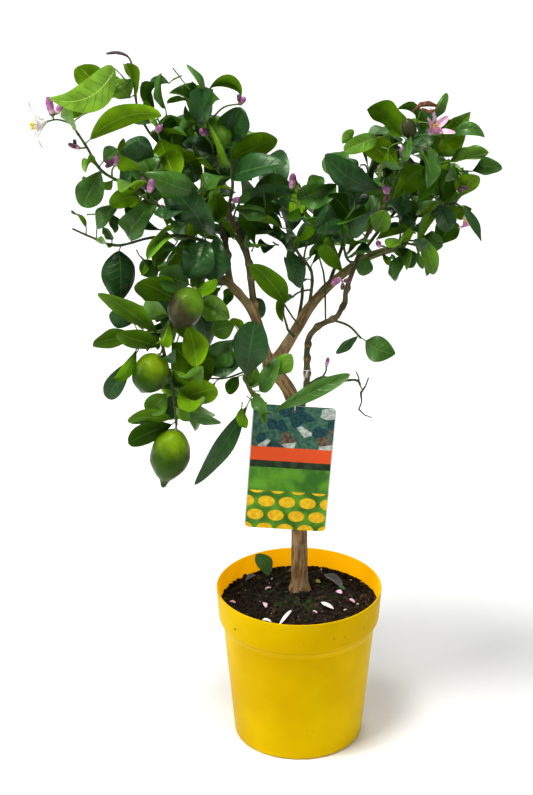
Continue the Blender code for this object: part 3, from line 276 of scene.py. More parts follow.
def shown(name, mesh):
    made = bpy.data.objects.new(name, mesh)
    bpy.context.scene.collection.objects.link(made)
    return made


def settled(source, name):
    """An object as its modifiers leave it, as a plain mesh in the source's stead."""
    bpy.context.view_layer.update()
    mesh = bpy.data.meshes.new_from_object(source.evaluated_get(bpy.context.evaluated_depsgraph_get()))
    bpy.data.objects.remove(source)
    mesh.shade_smooth()
    print(name, len(mesh.polygons), "faces")
    return shown(name, mesh)


def grown(tree, source, name, **values):
    """Runs a tree on a source object and keeps the result as a plain mesh, with smooth faces."""
    modifier = source.modifiers.new("Grow", "NODES")
    modifier.node_group = tree.tree
    for socket in tree.tree.interface.items_tree:
        if socket.in_out == "INPUT" and socket.name in values:
            modifier[socket.identifier] = values[socket.name]
    return settled(source, name)


def carry(mesh, label, column, domain="POINT"):
    """Gives each point or face of a mesh a number, or a vector of three."""
    flat = np.array([tuple(v) if hasattr(v, "__len__") else v for v in column], dtype=float)
    kind, word = ("FLOAT_VECTOR", "vector") if flat.ndim == 2 else ("FLOAT", "value")
    mesh.attributes.new(label, kind, domain).data.foreach_set(word, flat.ravel())


def carrying(name, points, edges=(), **attributes):
    """A source mesh whose points carry attributes."""
    mesh = bpy.data.meshes.new(name)
    mesh.from_pydata([tuple(point) for point in points], list(edges), [])
    for label, column in attributes.items():
        carry(mesh, label, column)
    return shown(name, mesh)


print("trees can be built")

# %% [markdown]
# ## Camera, floor and light
#
# The photo looks down on the plant by 23.5 degrees from about 2.5 m with a long lens, in soft light that
# comes from above and from both sides, on a white ground. Wide lights stand where that light came from, with
# a dim plain surround, so that the colours stay deep.

# %% Studio
SENSOR = 36
PHOTO_HEIGHT = 795
FOCAL_PIXELS = 2262
LOOKING_DOWN = 23.5
scene = bpy.context.scene
scene.view_settings.view_transform = "Standard"
camera = shown("camera", bpy.data.cameras.new("camera"))
camera.data.sensor_width = SENSOR
camera.data.lens = SENSOR * FOCAL_PIXELS / PHOTO_HEIGHT
camera.location = (-0.0374, -2.3, 1.424)
camera.rotation_euler = (math.radians(90 - LOOKING_DOWN), 0, 0)
scene.camera = camera

surround = bpy.data.worlds.new("surround")
surround.use_nodes = True
for socket, value in (("Color", (0.97, 0.985, 1, 1)), ("Strength", 0.16)):
    surround.node_tree.nodes["Background"].inputs[socket].default_value = value
scene.world = surround


def soft_light(name, place, size, watts, aim=(0, 0, 0.5)):
    made = shown(name, bpy.data.lights.new(name, "AREA"))
    made.data.size = size
    made.data.energy = watts
    made.location = place
    made.rotation_euler = (Vector(aim) - Vector(place)).to_track_quat("-Z", "Y").to_euler()


soft_light("overhead", (-0.6, -0.6, 3.0), 0.9, 96)
soft_light("left window", (-2.3, -0.7, 1.1), 1.0, 26)
soft_light("right window", (2.3, -0.6, 1.3), 1.0, 14)
soft_light("front", (-0.8, -2.6, 2.0), 1.0, 8)
soft_light("far ground", (0, 3.6, 3.2), 3.0, 130, (0, 4.2, 0))

floor_mesh = bpy.data.meshes.new("floor")
floor_mesh.from_pydata([(-10, -10, 0), (10, -10, 0), (10, 10, 0), (-10, 10, 0)], [], [(0, 1, 2, 3)])
ground = mottled("pale floor", (0.93, 0.93, 0.92), (0.95, 0.95, 0.94), 1.5, 0.7)
floor_mesh.materials.append(ground.material)
shown("floor", floor_mesh)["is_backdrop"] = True
print("camera at", tuple(camera.location))

# %% [markdown]
# ## Named sizes
#
# The same driving sizes as the frame's own source: the pot's radii, the trunk's flare, the label and the
# growth rule's steps. The pot, the soil, the limbs, the label and its thread are worked out from them.

# %% Sizes
CM = 0.01
MM = 0.001
GAP = 0.3 * MM
UP = Vector((0, 0, 1))
POT_HEIGHT = 0.189
RIM_RADIUS = 0.095
BASE_RADIUS = 0.0742
BODY_TOP_RADIUS = 0.087
BODY_TOP = 0.142
COLLAR_FOOT_RADIUS = 0.092
COLLAR_FOOT = 0.149
POT_WALL = 0.002
POT_FLOOR = 0.0025
SOIL_EDGE = 0.166
SOIL_CROWN = 0.178
SOIL_FLAT_RADIUS = 0.03
ROOT_FLARE = 3.2 * MM
FLARE_HEIGHT = 0.016
LABEL_WIDTH = 0.093
LABEL_HEIGHT = 0.157
LABEL_THICKNESS = 1.2 * MM
LABEL_MIDDLE = -0.0112
LABEL_LEVEL = 0.3385
LABEL_ROLL = math.radians(4)
LABEL_HOLE_RADIUS = 2.4 * MM
LABEL_HOLE_DROP = 0.006
THREAD_RADIUS = 0.5 * MM
THREAD_LINK_RADIUS = 3.6 * MM
THREAD_HEIGHT = 0.461
LIMB_STEP = 0.018
STEM_STEP = 0.021
TIP_RUN = 8 * MM
LIMB_COLLAR = 1.2 * MM
STEM_COLLAR = 0.8 * MM
TWIG_RADIUS = 1.2 * MM
TWIG_TIP_RADIUS = 0.9 * MM
PETIOLE = 0.008
LONGEST_PETIOLE = 0.015
PETIOLE_RADIUS = 0.75 * MM
LEAF_THICKNESS = 0.9 * MM
LEAF_CLEARANCE = 0.55 * MM
BLADE_STATIONS = ((0.07, 0.3), (0.28, 1.0), (0.7, 0.9))
PETAL_WIDTH = 0.008
PETAL_BEND = 0.7
PETAL_FOLD = 0.5
INTERNODE = 0.021
GOLDEN_ANGLE = math.radians(137.5)
TRIES = 9
REACH = (-28.4, 21.6, 80)
SKY = ((1, 73, 5.5, 7), (-5, 81, 4.5, 4), (-13.5, 82, 3, 2.5), (-19, 74, 2.5, 1.8), (-24, 59, 3.5, 3),
       (8, 53.5, 5, 2.5), (-9, 50.5, 1, 1), (1.5, 57.5, 1.3, 1.6), (-7, 56.5, 1, 1.8), (-26, 66.5, 3, 4))
BUD_RINGS = ((0.6, -0.42), (1, 0), (0.6, 0.42))
print("pot", POT_HEIGHT, "m high")

# %% [markdown]
# ## Limbs and sprays
#
# The trunk and its boughs are paths with a radius at each end. Each spray of foliage has a stem that leaves
# one of them, with the leaves that show clearly from the front: where each starts and ends in centimetres,
# which face it turns to the front, and its width and bend where they aren't the usual ones. Fruit, buds and
# flowers have tables of their own.

# %% Tables of limbs and sprays
LIMBS = {
    "trunk": (None, 0, 0, (9.8, 7.6), (
        (0.1, 1.2, 17.83), (0, 1.1, 29), (-0.1, 1, 37), (-0.6, 0.8, 41.1), (-1.4, 0.6, 43.3),
        (-2.4, 0.4, 44.8), (-3.3, 0.2, 46))),
    "left_bough": ("trunk", 1, 1.7, (6.6, 4), (
        (-4.1, 0, 48.7), (-4.8, -0.2, 51.5), (-5.6, -0.3, 53.3), (-6.8, -0.4, 54.9), (-8.1, -0.6, 56.4),
        (-9.4, -1, 57.1), (-10.1, -1.4, 57.2))),
    "right_bough": ("trunk", 1, 1.7, (6.8, 4), (
        (-1.9, 0.4, 47.9), (-0.4, 0.6, 50.4), (0.8, 0.6, 52.6), (2.6, 0.6, 54.9), (4.8, 0.8, 56.9),
        (7.5, 1.2, 58.6), (10.4, 1.8, 59.4))),
    "front_bough": ("trunk", 0.7, 0.5, (4, 2.9), (
        (0.2, -0.1, 41.3), (0.6, -0.7, 43.5), (0.7, -0.9, 46.1), (0.7, -1, 48.6), (1, -1.2, 50.3),
        (2.3, -1.4, 51.7), (3.8, -1.5, 52.5), (4.4, -1.5, 53.6))),
    "left_leader": ("left_bough", 0.36, 0.5, (4.2, 2.8), (
        (-5.2, 0.4, 54), (-5.5, 0.7, 56.7), (-6.2, 1.1, 60.2), (-7.4, 1.5, 62.4), (-8.3, 1.6, 64.8))),
    "knot_bough": ("left_bough", 0.8, 0.5, (3.6, 2.6), (
        (-7.9, 0, 58), (-8.1, 0.2, 60.2), (-8.6, 0.2, 62.2))),
    "right_leader": ("front_bough", 1, 0, (2.8, 2.2), (
        (4.8, -1.5, 55.3), (5.6, -1.4, 58), (7, -1.6, 62), (8.9, -2, 65.6))),
}
OVER, UNDER = 1, -1
SPRAYS = {
    "left_tip": ("knot_bough", 1, (2.3, 1.2), (0, 0), (
        (-11, -0.5, 63.5), (-13.5, -2, 64.5), (-17, -3, 67), (-19, -3.5, 68.5), (-21, -4, 70),
        (-22.5, -4.3, 72.8), (-24, -4.5, 75.3)), (
        ((-24, -5, 76), (-19.5, -6.5, 78), UNDER), ((-22, -4.5, 73.5), (-14.5, -5.5, 76.5), UNDER, 3, 2.2),
        ((-21, -4, 70), (-23, -5.5, 66.5), OVER), ((-15.5, -2.5, 71), (-18.7, -4, 72), OVER),
        ((-11, -3, 68.5), (-16.5, -5.5, 71), OVER), ((-17, -4, 67), (-20, -5, 66.3), UNDER, 1.7))),
    "top_left": ("left_leader", 0.8, (2, 0.9), (0, 0), (
        (-9.8, 3.4, 65.5), (-13.2, 2.6, 69.3), (-16, -0.2, 72.8), (-17.3, -0.6, 76), (-17.5, -0.5, 79),
        (-18.1, 0, 81), (-19.2, 0, 81.5), (-20.4, 0, 81.4)), (
        ((-19, -3.5, 79.3), (-26, -6, 78.3), OVER, 3.9, 0.5),
        ((-20.8, -2.5, 78.3), (-23.5, -2.5, 81.3), UNDER, 3),
        ((-17.5, -1, 77), (-18.3, -1.8, 81), UNDER, 1.9), ((-14.3, -1, 75.8), (-14.8, -2, 79.6), OVER, 1.9),
        ((-15.9, -1.5, 75), (-19.3, -1.2, 75.6), OVER, 1.8))),
    "top": ("left_leader", 1, (2.2, 0.9), (3, 4), (
        (-8.9, 1.9, 68.5), (-9.5, 2, 70.5), (-9.8, 2.4, 73.5), (-10.5, 2.5, 75.5), (-11.6, 2, 77.2),
        (-13.5, 2, 79.4)), (
        ((-11, 0, 70), (-15, -2.5, 71), UNDER), ((-11, 1, 73.5), (-9.5, -0.5, 77.6), OVER),
        ((-10, 2, 76.6), (-11.5, 1, 79.7), OVER, 2), ((-9.8, 2, 77), (-6.4, 1, 76.5), UNDER, 1.8, 1.6),
        ((-11.8, 2, 75.6), (-14.2, 1, 75.8), UNDER, 1.3, 1.4), ((-7.5, 1.5, 71.5), (-6.5, 0.5, 75.6), OVER),
        ((-9, 1, 68.7), (-9.5, -1.5, 74), OVER), ((-7.6, 0.7, 69.7), (-2.6, -1, 72.6), UNDER, 3.2),
        ((-7.5, 0, 68), (-1.6, -2.5, 70.3), OVER, 3), ((-9, 0.5, 66.5), (-8.5, -1.5, 63.3), UNDER, 1.9),
        ((-7, 0, 64.3), (-3.5, -1.5, 64.2), OVER, 1.9))),
    "centre": ("right_bough", 0.4, (2, 1.1), (3, 3.5), (
        (1.1, -0.3, 57.4), (-0.4, -0.8, 59.8), (-1.2, -0.8, 62), (-1.5, -0.6, 64.5)), (
        ((-5, -0.5, 60.5), (-1.7, 0.8, 66.8), UNDER, 4), ((-0.7, -1.2, 59.8), (0, -2.2, 55.8), OVER, 2.1),
        ((-0.5, -1.5, 66), (3.3, -2.2, 68), OVER), ((-2, 0.2, 54.3), (-5.5, -1.2, 58.8), UNDER, 2.3))),
    "right_inner": ("right_leader", 0.42, (1.6, 1.1), (3, 3), (
        (5, -2.6, 59.5), (4.4, -2.9, 61.5), (4.2, -2.6, 64)), (
        ((6.4, -1.9, 62.5), (3, -1.4, 67), UNDER, 3.4), ((4.2, -3, 61.8), (0, -4, 65.5), UNDER, 2.3),
        ((4.4, -3.2, 58.3), (2.2, -4.6, 62.3), UNDER, 2.4))),
    "right_top": ("right_leader", 1, (1.9, 1.2), (4, 3.5), (
        (10.4, -2.4, 69.8), (11.4, -2.6, 72.6)), (
        ((10.6, -2, 73), (7, -1.5, 76.2), UNDER, 3.3), ((8.4, -2.3, 73), (4.3, -3.8, 71.6), OVER, 2, 1.4),
        ((10, -2.5, 70), (6.3, -3.2, 73), UNDER), ((8.5, -3, 67.7), (2.4, -4.8, 72), OVER, 3.4),
        ((11.5, -3.2, 72.5), (13, -5, 68.3), OVER, 2.4, 1.3),
        ((9.7, -1.2, 66), (13.5, -1.7, 70.5), UNDER, 3),
        ((14.2, -0.5, 70.8), (16.5, -0.5, 74.2), UNDER, 2.8),
        ((16, 0.6, 71.8), (19.2, 0, 72.2), OVER, 2, 1.2), ((14, -1, 74.7), (15, -1.2, 77.3), OVER, 1.2))),
    "right_tip": ("right_bough", 1, (2.6, 1.3), (4, 3.5), (
        (12, 1.3, 61.3), (13.5, 1, 63), (15, 0.5, 64.5), (16.5, -0.3, 65.2)), (
        ((15.5, 0.2, 69.5), (19.7, -1, 71), OVER, 2.2), ((18, 0, 68.6), (21.6, -0.6, 69), OVER, 2),
        ((16.7, -1, 65.8), (19, -1.7, 69.2), UNDER, 2.3), ((15, -0.7, 65.3), (15.5, -2, 69.5), UNDER),
        ((17, -1, 65), (19, -2, 61.3), OVER, 1.2), ((14.6, -1, 64.3), (12.4, -3, 61.8), OVER, 2.7),
        ((14.7, 0, 60.3), (16.6, -1, 63.6), UNDER, 2))),
    "right_low": ("right_bough", 0.8, (1.7, 1.1), (2, 2.5), (
        (9.6, -0.6, 60.2), (11.3, -1.5, 61), (12.6, -1.6, 60.7)), (
        ((8, -1.5, 61.5), (12.3, -3.4, 63.3), UNDER, 2.4), ((12.6, -1.8, 61.7), (15, -3, 61.2), OVER, 1.8),
        ((13.2, -1.6, 60.3), (14.5, -2, 57.2), OVER, 2), ((10.5, -0.8, 59.3), (10, -1.6, 56.8), OVER, 1.7))),
    "front_right": ("front_bough", 0.9, (1.5, 1.1), (0, 0), (
        (5.2, -2.2, 51.8), (6.5, -2.8, 50.6)), (
        ((7, -3, 50.4), (10.2, -4, 49.3), OVER, 2.3), ((6.1, -3, 50.9), (3.8, -4, 49.4), OVER, 1.7))),
    "front_low": ("left_bough", 0.18, (2.4, 1.3), (1, 3), (
        (-5, -1.8, 49), (-5.7, -3.2, 48), (-6, -4.2, 46.5), (-5.4, -4.9, 45.1), (-4.6, -5, 44),
        (-4, -5.1, 42.9)), (
        ((-5.8, -5.3, 43.8), (-11.6, -7, 34.9), OVER, 2.1, 0.4),
        ((-3.2, -5.4, 43), (5.2, -6.2, 47.8), OVER, 1.8, 0.6),
        ((-6, -4.6, 46.9), (-5, -5.2, 53.5), OVER, 3.9), ((-4.5, -4.7, 45.2), (-2.6, -5.7, 49), OVER, 1.8),
        ((-7.2, -2.6, 50.5), (-10.2, -4, 47.8), OVER, 2.7),
        ((-11, -3.8, 46.2), (-16.3, -3.6, 45.4), OVER, 1.5),
        ((-6.8, -4.4, 46.8), (-7.9, -5, 45), UNDER, 1.6))),
    "fruit_branch": ("left_bough", 1, (2.6, 1.4), (2, 3), (
        (-11, -2, 56.8), (-12.4, -2.8, 55), (-13.9, -3.6, 53.3), (-14.9, -4.5, 51.6), (-14.6, -5.2, 49.1),
        (-14, -5.6, 46.8), (-13.6, -6, 43.5), (-13.5, -6.2, 41.8)), (
        ((-15.5, -4.7, 52), (-21.5, -6.5, 57.4), UNDER, 3.3),
        ((-18.3, -4.2, 51.7), (-22.6, -5.5, 51), UNDER, 2.6),
        ((-15.3, -5, 51.2), (-20, -7.5, 53), UNDER, 2.5), ((-18, -4, 49), (-21, -5, 44.4), OVER, 1.9),
        ((-12.2, -4.6, 53), (-11, -6.5, 48.9), UNDER, 2.6), ((-14, -4, 50.6), (-10, -5.2, 46.5), UNDER),
        ((-11, -2.5, 54.8), (-7.9, -4, 53.7), OVER, 2.7),
        ((-13.4, -5.8, 44.6), (-9, -7.5, 46.8), UNDER, 2.4),
        ((-14, -6.2, 42.5), (-18.6, -8, 43.5), UNDER, 2.3),
        ((-14, -5.7, 41.9), (-18, -6.6, 39.6), UNDER, 2.3), ((-12.6, -6, 43), (-9, -7.5, 43), OVER, 1.4),
        ((-13.5, -3.5, 56), (-17.7, -5, 58.2), UNDER, 3))),
    "left_side": ("knot_bough", 0.55, (2, 1.1), (2, 3), (
        (-10.9, -0.8, 61.2), (-13.2, -1.2, 61.8), (-16.3, -1.4, 61.6), (-19.9, -1.8, 60.9), (-22.6, -2, 62),
        (-24.4, -2.1, 62.9)), (
        ((-19.5, -2, 60.4), (-19.4, -3.5, 55.2), OVER, 4),
        ((-21.8, -2.3, 62.9), (-20, -3, 65.6), OVER, 1.7),
        ((-22.9, -2.3, 63.1), (-24.4, -2.8, 65), UNDER, 1.2),
        ((-18.5, -1.7, 61.8), (-15.8, -3.2, 66), OVER, 2.6),
        ((-13.5, -2, 61), (-16.3, -4, 59.8), UNDER, 2.8),
        ((-11.1, -2.8, 58.5), (-14.5, -4.8, 61.5), UNDER, 2.1),
        ((-10.3, -1.2, 62.4), (-13, -3.5, 67.5), OVER, 3.8),
        ((-10.3, -2, 61.7), (-12.2, -4.5, 58.6), OVER, 2.8),
        ((-9, -1.3, 61.8), (-9.5, -3.5, 57.4), OVER, 2.6))),
    "back_low": ("left_bough", 0.5, (2.2, 1.2), (5, 4.5), (
        (-7, 2.2, 54.6), (-9.5, 4, 54.3), (-12.5, 5, 52.8), (-15, 5.2, 50.2)), ()),
    "back_left": ("left_leader", 0.35, (2.2, 1.2), (7, 5), (
        (-6.3, 3.4, 58.6), (-8.4, 6, 61), (-11, 8, 63.5), (-13.2, 8.8, 66)), ()),
    "back_top": ("left_leader", 0.92, (2, 1.2), (6, 4.5), (
        (-7.4, 3.4, 66), (-8, 5.4, 69), (-9.4, 6.4, 72)), ()),
    "back_centre": ("right_bough", 0.26, (2, 1.2), (4, 4), (
        (0.2, 3, 54.2), (-0.8, 5, 57.4), (-1.6, 6.2, 60.8), (-1.8, 6.8, 63.5)), ()),
    "back_right": ("right_bough", 0.56, (2.2, 1.2), (7, 4.8), (
        (4.6, 3.6, 59), (5.6, 5.8, 62), (7.2, 7, 65.4), (8, 7.4, 68)), ()),
    "back_right_tip": ("right_bough", 0.74, (2.2, 1.2), (5, 4.5), (
        (8.6, 3.6, 60.8), (11, 5.2, 63), (13.6, 5.8, 65.6), (14.8, 6, 68)), ()),
    "bare_twig": ("front_bough", 0.36, (1.6, 0.9), (0, 0), (
        (2.4, -1.6, 45.5), (4.2, -2.2, 45.3), (6.2, -2.8, 45.6), (6.7, -3, 44.3), (6.8, -3, 42.4),
        (7.9, -3.2, 41.2)), ()),
}
FRUITS = (
    ("fruit_branch", (-11.4, -4.6, 57), (-13.4, -6, 53), 1.75, 0.06),
    ("fruit_branch", (-15.3, -6.2, 50), (-17.2, -6.8, 45.9), 1.85, 0.05),
    ("fruit_branch", (-13.6, -6.4, 41.3), (-15.1, -6.9, 34.6), 2.0, 0.2),
    ("right_top", (11.2, -3.4, 73.4), (10.8, -4, 75.6), 0.75, 0.02))
BUDS = {
    "left_tip": ((-26, -5.2, 77, 15, 7), (-24.9, -5.4, 76.9, 12, 6.5), (-23.5, -4.5, 72.5, 8, 5),
                 (-19.4, -4.4, 71, 9, 6), (-15.8, -4.8, 68.2, 15, 7.5)),
    "left_side": ((-14.6, -3.6, 65, 14, 7),), "top_left": ((-15, -1.8, 73.6, 9, 6),),
    "top": ((-10.5, 0.4, 72.6, 8, 6), (-6.3, 0.8, 75.9, 8, 6), (-7, -0.8, 65.4, 9, 6)),
    "centre": ((-1, -2, 67.9, 14, 7), (0.4, -2.8, 67.6, 13, 6.5)),
    "right_top": ((10.5, -3.8, 71.5, 13, 7.5), (8.3, -3.9, 69.6, 12, 7), (8.8, -4, 67.6, 11, 7)),
    "right_inner": ((3.9, -3.8, 57.4, 11, 6.5),), "right_low": ((8.2, -2.4, 61.1, 7, 5.5),),
    "right_tip": ((13.6, -1.6, 67, 11, 6),), "bare_twig": ((2.9, -2.2, 47.4, 9, 4),)}
FLOWERS = (
    ("left_tip", (-26.3, -5.4, 75.7), (-0.9, -0.35, -0.2), 2.2, 5, 62),
    ("right_top", (13.2, -3.4, 73.7), (0.55, -0.35, 0.75), 2.5, 5, 48),
    ("right_tip", (17.4, -1.7, 64.3), (0.15, -0.5, -0.85), 1.5, 5, 38))


def node_name(spray):
    """The frame's node for a spray."""
    return spray if spray == "bare_twig" else "foliage_" + spray


MASSES = {node_name(name): row for name, row in SPRAYS.items()}
print(len(LIMBS), "limbs and", len(MASSES), "masses")

# %% [markdown]
# ## The growth rule
#
# A path is a smooth line through a few points. Limbs start on their parents, stems on the limbs, and twigs
# on the nearest branch. Every new shape is tested against all that has grown, so that nothing touches its
# neighbour, and the seeds are fixed, so that the plant grows the same way each time as it did in the frame's
# source.

# %% Paths and shells


def centimetres(point):
    return Vector(point) * CM


def perpendicular(vector, to):
    """The part of a vector at right angles to a direction, as a unit vector."""
    part = vector - vector.dot(to) * to
    return part.normalized() if part.length > 1e-6 else to.orthogonal().normalized()


class Path:
    """A smooth line through a few points, sampled at even steps, with a radius that tapers along it."""

    def __init__(self, points, radii=(1, 1), step=1.0):
        ends = [points[0] * 2 - points[1], *points, points[-1] * 2 - points[-2]]
        self.fine = [points[0]]
        for a, b, c, d in zip(ends, ends[1:], ends[2:], ends[3:]):
            before, span, after = ((q - p).length ** 0.5 for p, q in ((a, b), (b, c), (c, d)))
            leave = (c - b) + span * ((b - a) / before - (c - a) / (before + span))
            arrive = (c - b) + span * ((d - c) / after - (d - b) / (span + after))
            for share in (0.125 * k for k in range(1, 9)):
                blend = share * share * (3 - 2 * share)
                self.fine.append(b.lerp(c, blend) + leave * share * (1 - share) ** 2
                                 - arrive * share * share * (1 - share))
        self.distances = [0.0]
        for a, b in zip(self.fine, self.fine[1:]):
            self.distances.append(self.distances[-1] + (b - a).length)
        self.length = self.distances[-1]
        self.radii = radii
        self.step = step

    def point(self, distance):
        distance = min(max(distance, 0), self.length)
        index = next(i for i, d in enumerate(self.distances[1:]) if d >= distance - 1e-9)
        span = self.distances[index + 1] - self.distances[index]
        share = (distance - self.distances[index]) / max(span, 1e-9)
        return self.fine[index].lerp(self.fine[index + 1], share)

    def tangent(self, distance):
        reach = 0.002
        return (self.point(distance + reach) - self.point(distance - reach)).normalized()

    def radius(self, distance):
        return self.radii[0] + (self.radii[1] - self.radii[0]) * distance / self.length

    def marks(self, start=0.0, step=None, least=1):
        """Distances at even steps from a start to the end."""
        count = max(least, round((self.length - start) / (step or self.step)))
        return [start + (self.length - start) * k / count for k in range(count + 1)]

    def samples(self, start):
        return [(self.point(mark), self.radius(mark)) for mark in self.marks(start)]


def ring_shell(rings, tip=None):
    """Vertices and faces of a closed loft through rings with the same number of points, and on to a tip."""
    sides = len(rings[0])
    vertices = [point for ring in rings for point in ring]
    last = len(vertices)
    faces = [tuple(range(sides))[::-1]]
    if tip is None:
        faces.append(tuple(range(last - sides, last)))
    else:
        vertices.append(tip)
        faces += [(last - sides + k, last - sides + (k + 1) % sides, last) for k in range(sides)]
    for a in range(last - sides):
        b = a - sides + 1 if (a + 1) % sides == 0 else a + 1
        faces.append((a, b, b + sides, a + sides))
    return vertices, faces


def tube_rings(samples, sides, margin=0.0):
    rings = []
    for index, (point, radius) in enumerate(samples):
        before = samples[max(index - 1, 0)][0]
        after = samples[min(index + 1, len(samples) - 1)][0]
        along = (after - before).normalized()
        across = perpendicular(Vector((1, 0.3, 0.2)), along)
        rings.append(circle(point, across, along.cross(across), radius + margin, sides))
    return rings


def circle(centre, across, other, radius, sides):
    turns = (2 * math.pi * k / sides for k in range(sides))
    return [centre + radius * (math.cos(t) * across + math.sin(t) * other) for t in turns]


print("paths ready")

# %% [markdown]
# ## One leaf
#
# A lemon leaf is a blade folded along its midrib, which curves from foot to tip. Here a leaf is only its
# numbers and a rough hull for the clearance test. Its real outline is drawn later.

# %% Leaf and crown


class Leaf:
    """A blade on a curved midrib from foot to tip, folded along it, with a petiole back to its node."""

    def __init__(self, mass, node, foot, tip, normal, width, bend, fold, kind="leaf", shade=0):
        self.mass, self.node, self.foot, self.tip = mass, node, foot, tip
        self.width, self.bend, self.fold, self.kind, self.shade = width, bend, fold, kind, shade
        self.chord = tip - foot
        self.along = self.chord.normalized()
        self.normal = perpendicular(normal, self.along)
        self.side = self.along.cross(self.normal)

    def midrib(self, share):
        """Point and local normal on the arc that turns by the bend between foot and tip."""
        half = self.bend / 2
        turn = self.bend * (share - 0.5)
        scale = self.chord.length / (2 * math.sin(half))
        point = (self.foot + self.along * scale * (math.sin(turn) + math.sin(half))
                 + self.normal * scale * (math.cos(turn) - math.cos(half)))
        return point, self.normal * math.cos(turn) + self.along * math.sin(turn)

    def section(self, share, breadth):
        centre, up = self.midrib(share)
        half = breadth * self.width / 2 + LEAF_CLEARANCE
        lift = up * (half * math.sin(self.fold) + LEAF_CLEARANCE)
        spread = self.side * half * math.cos(self.fold)
        keel = up * (LEAF_THICKNESS / 2 + LEAF_CLEARANCE)
        return [centre + spread + lift, centre - spread + lift, centre - keel]

    def hull(self):
        """A slightly larger blade, for telling whether it would touch something."""
        return ring_shell([self.section(share, breadth) for share, breadth in BLADE_STATIONS], self.tip)


class Crown:
    """Everything that has grown so far, with the test that keeps it apart."""

    def __init__(self):
        self.shapes, self.leaves, self.fruits, self.buds = [], [], [], []
        self.limbs, self.starts = {}, {}
        self.branches = {name: [] for name in MASSES}

    def shape(self, owner, kind, vertices, faces):
        low, high = (Vector([pick(v[axis] for v in vertices) for axis in range(3)]) for pick in (min, max))
        return owner, kind, low, high, BVHTree.FromPolygons(vertices, faces)

    def tube(self, owner, kind, samples, sides):
        return self.shape(owner, kind, *ring_shell(tube_rings(samples, sides, LEAF_CLEARANCE)))

    def free(self, shape, ignore):
        """Whether a shape touches nothing, apart from the (owner, kind) pairs that it may touch."""
        _, _, low, high, tree = shape
        for owner, kind, other_low, other_high, other_tree in self.shapes:
            apart = any(low[axis] > other_high[axis] or high[axis] < other_low[axis] for axis in range(3))
            if (owner, kind) not in ignore and not apart and tree.overlap(other_tree):
                return False
        return True


print("leaf and crown ready")

# %% [markdown]
# ## Growing on
#
# First the limbs and stems, then the twigs that carry fruit, flowers and buds, then the leaves that show,
# and at last shoots and leaves by rule round the sides and the back.

# %% Limbs, stems and twigs


def child_path(crown, parent, share, least, radii, points, step, collar):
    """A limb's path from its parent, and where its wood starts: on from the tip, or past a short collar."""
    radii = tuple(radius * MM for radius in radii)
    points = [centimetres(point) for point in points]
    if parent is None:
        return Path(points, radii, step), 0.0
    route = crown.limbs[parent]
    start = route.point(share * route.length)
    if not least:
        return Path([start, start + route.tangent(route.length) * TIP_RUN, *points], radii, step), GAP
    path = Path([start, *points], radii, step)
    clear = route.radius(share * route.length) + radii[0] + collar
    cut = max(clear, least * CM)
    while min((path.point(cut) - point).length for point in route.fine) < clear:
        cut += 0.5 * MM
    return path, cut + GAP


def grow_limbs(crown):
    for name, row in LIMBS.items():
        crown.limbs[name], start = child_path(crown, *row, LIMB_STEP, LIMB_COLLAR)
        crown.shapes.append(crown.tube(name, "wood", crown.limbs[name].samples(start), 8))
    for name, (parent, share, radii, _, points, _) in MASSES.items():
        least = 0 if share == 1 else 0.2
        path, start = child_path(crown, parent, share, least, radii, points, STEM_STEP, STEM_COLLAR)
        crown.starts[name] = start
        crown.branches[name].append(path)
        crown.shapes.append(crown.tube(name, "wood", path.samples(start), 6))


def nearest_branch(crown, mass, target):
    """(path, distance) of the best place for a twig to leave for a target: near, and not backwards."""
    best = None
    for path in crown.branches[mass]:
        first = crown.starts[mass] + 0.006 if path is crown.branches[mass][0] else path.length * 0.3
        steps = max(2, round(path.length / 0.004))
        for k in range(steps + 1):
            distance = min(path.length * k / steps, path.length - 1 * MM)
            if distance < first:
                continue
            away = target - path.point(distance)
            backwards = max(0.0, 0.35 - away.normalized().dot(path.tangent(distance)))
            cost = away.length * (1 + 1.1 * backwards)
            if best is None or cost < best[0]:
                best = cost, path, distance
    return best[1:]


def grow_twig(crown, mass, target):
    """A twig from the nearest branch to a target, or None where it would touch something of another mass."""
    path, distance = nearest_branch(crown, mass, target)
    foot = path.point(distance)
    away = target - foot
    bow = path.tangent(distance) * away.length * 0.22 + UP * away.length * 0.05
    middle = foot + away * 0.5 + bow * 0.5
    points = [foot, middle, target] if away.length > 0.012 else [foot, target]
    twig = Path(points, (min(TWIG_RADIUS, path.radius(distance) * 0.9), TWIG_TIP_RADIUS), STEM_STEP)
    start = min(path.radius(distance) + 2 * MM, twig.length * 0.5)
    shape = crown.tube(mass, "wood", twig.samples(start), 3)
    if not crown.free(shape, {(mass, "wood")}):
        return None
    crown.branches[mass].append(twig)
    crown.shapes.append(shape)
    return twig


def place_leaf(crown, leaf, ignore=frozenset()):
    """Adds a leaf where its blade touches nothing, and its petiole nothing but its own mass's wood."""
    blade = crown.shape(leaf.mass, leaf.kind, *leaf.hull())
    own = {(leaf.mass, "wood"), (leaf.mass, "petiole")}
    stalk = [(leaf.node.lerp(leaf.foot, share), PETIOLE_RADIUS) for share in (0.3, 1.0)]
    petiole = crown.tube(leaf.mass, "petiole", stalk, 3)
    if not crown.free(blade, ignore) or not crown.free(petiole, own | ignore):
        return False
    crown.leaves.append(leaf)
    crown.shapes += [blade, petiole]
    return True


def tie_leaf(crown, mass, foot, tip):
    """The node that carries a leaf: on the nearest branch, or at the end of a twig grown for it."""
    path, distance = nearest_branch(crown, mass, foot)
    if (foot - path.point(distance)).length <= LONGEST_PETIOLE:
        return path.point(distance)
    twig = grow_twig(crown, mass, foot - (tip - foot).normalized() * PETIOLE)
    return twig and twig.point(twig.length - 0.5 * MM)


def usual_width(length):
    return 0.36 * length + 1.5 * CM


print("limbs and twigs can grow")

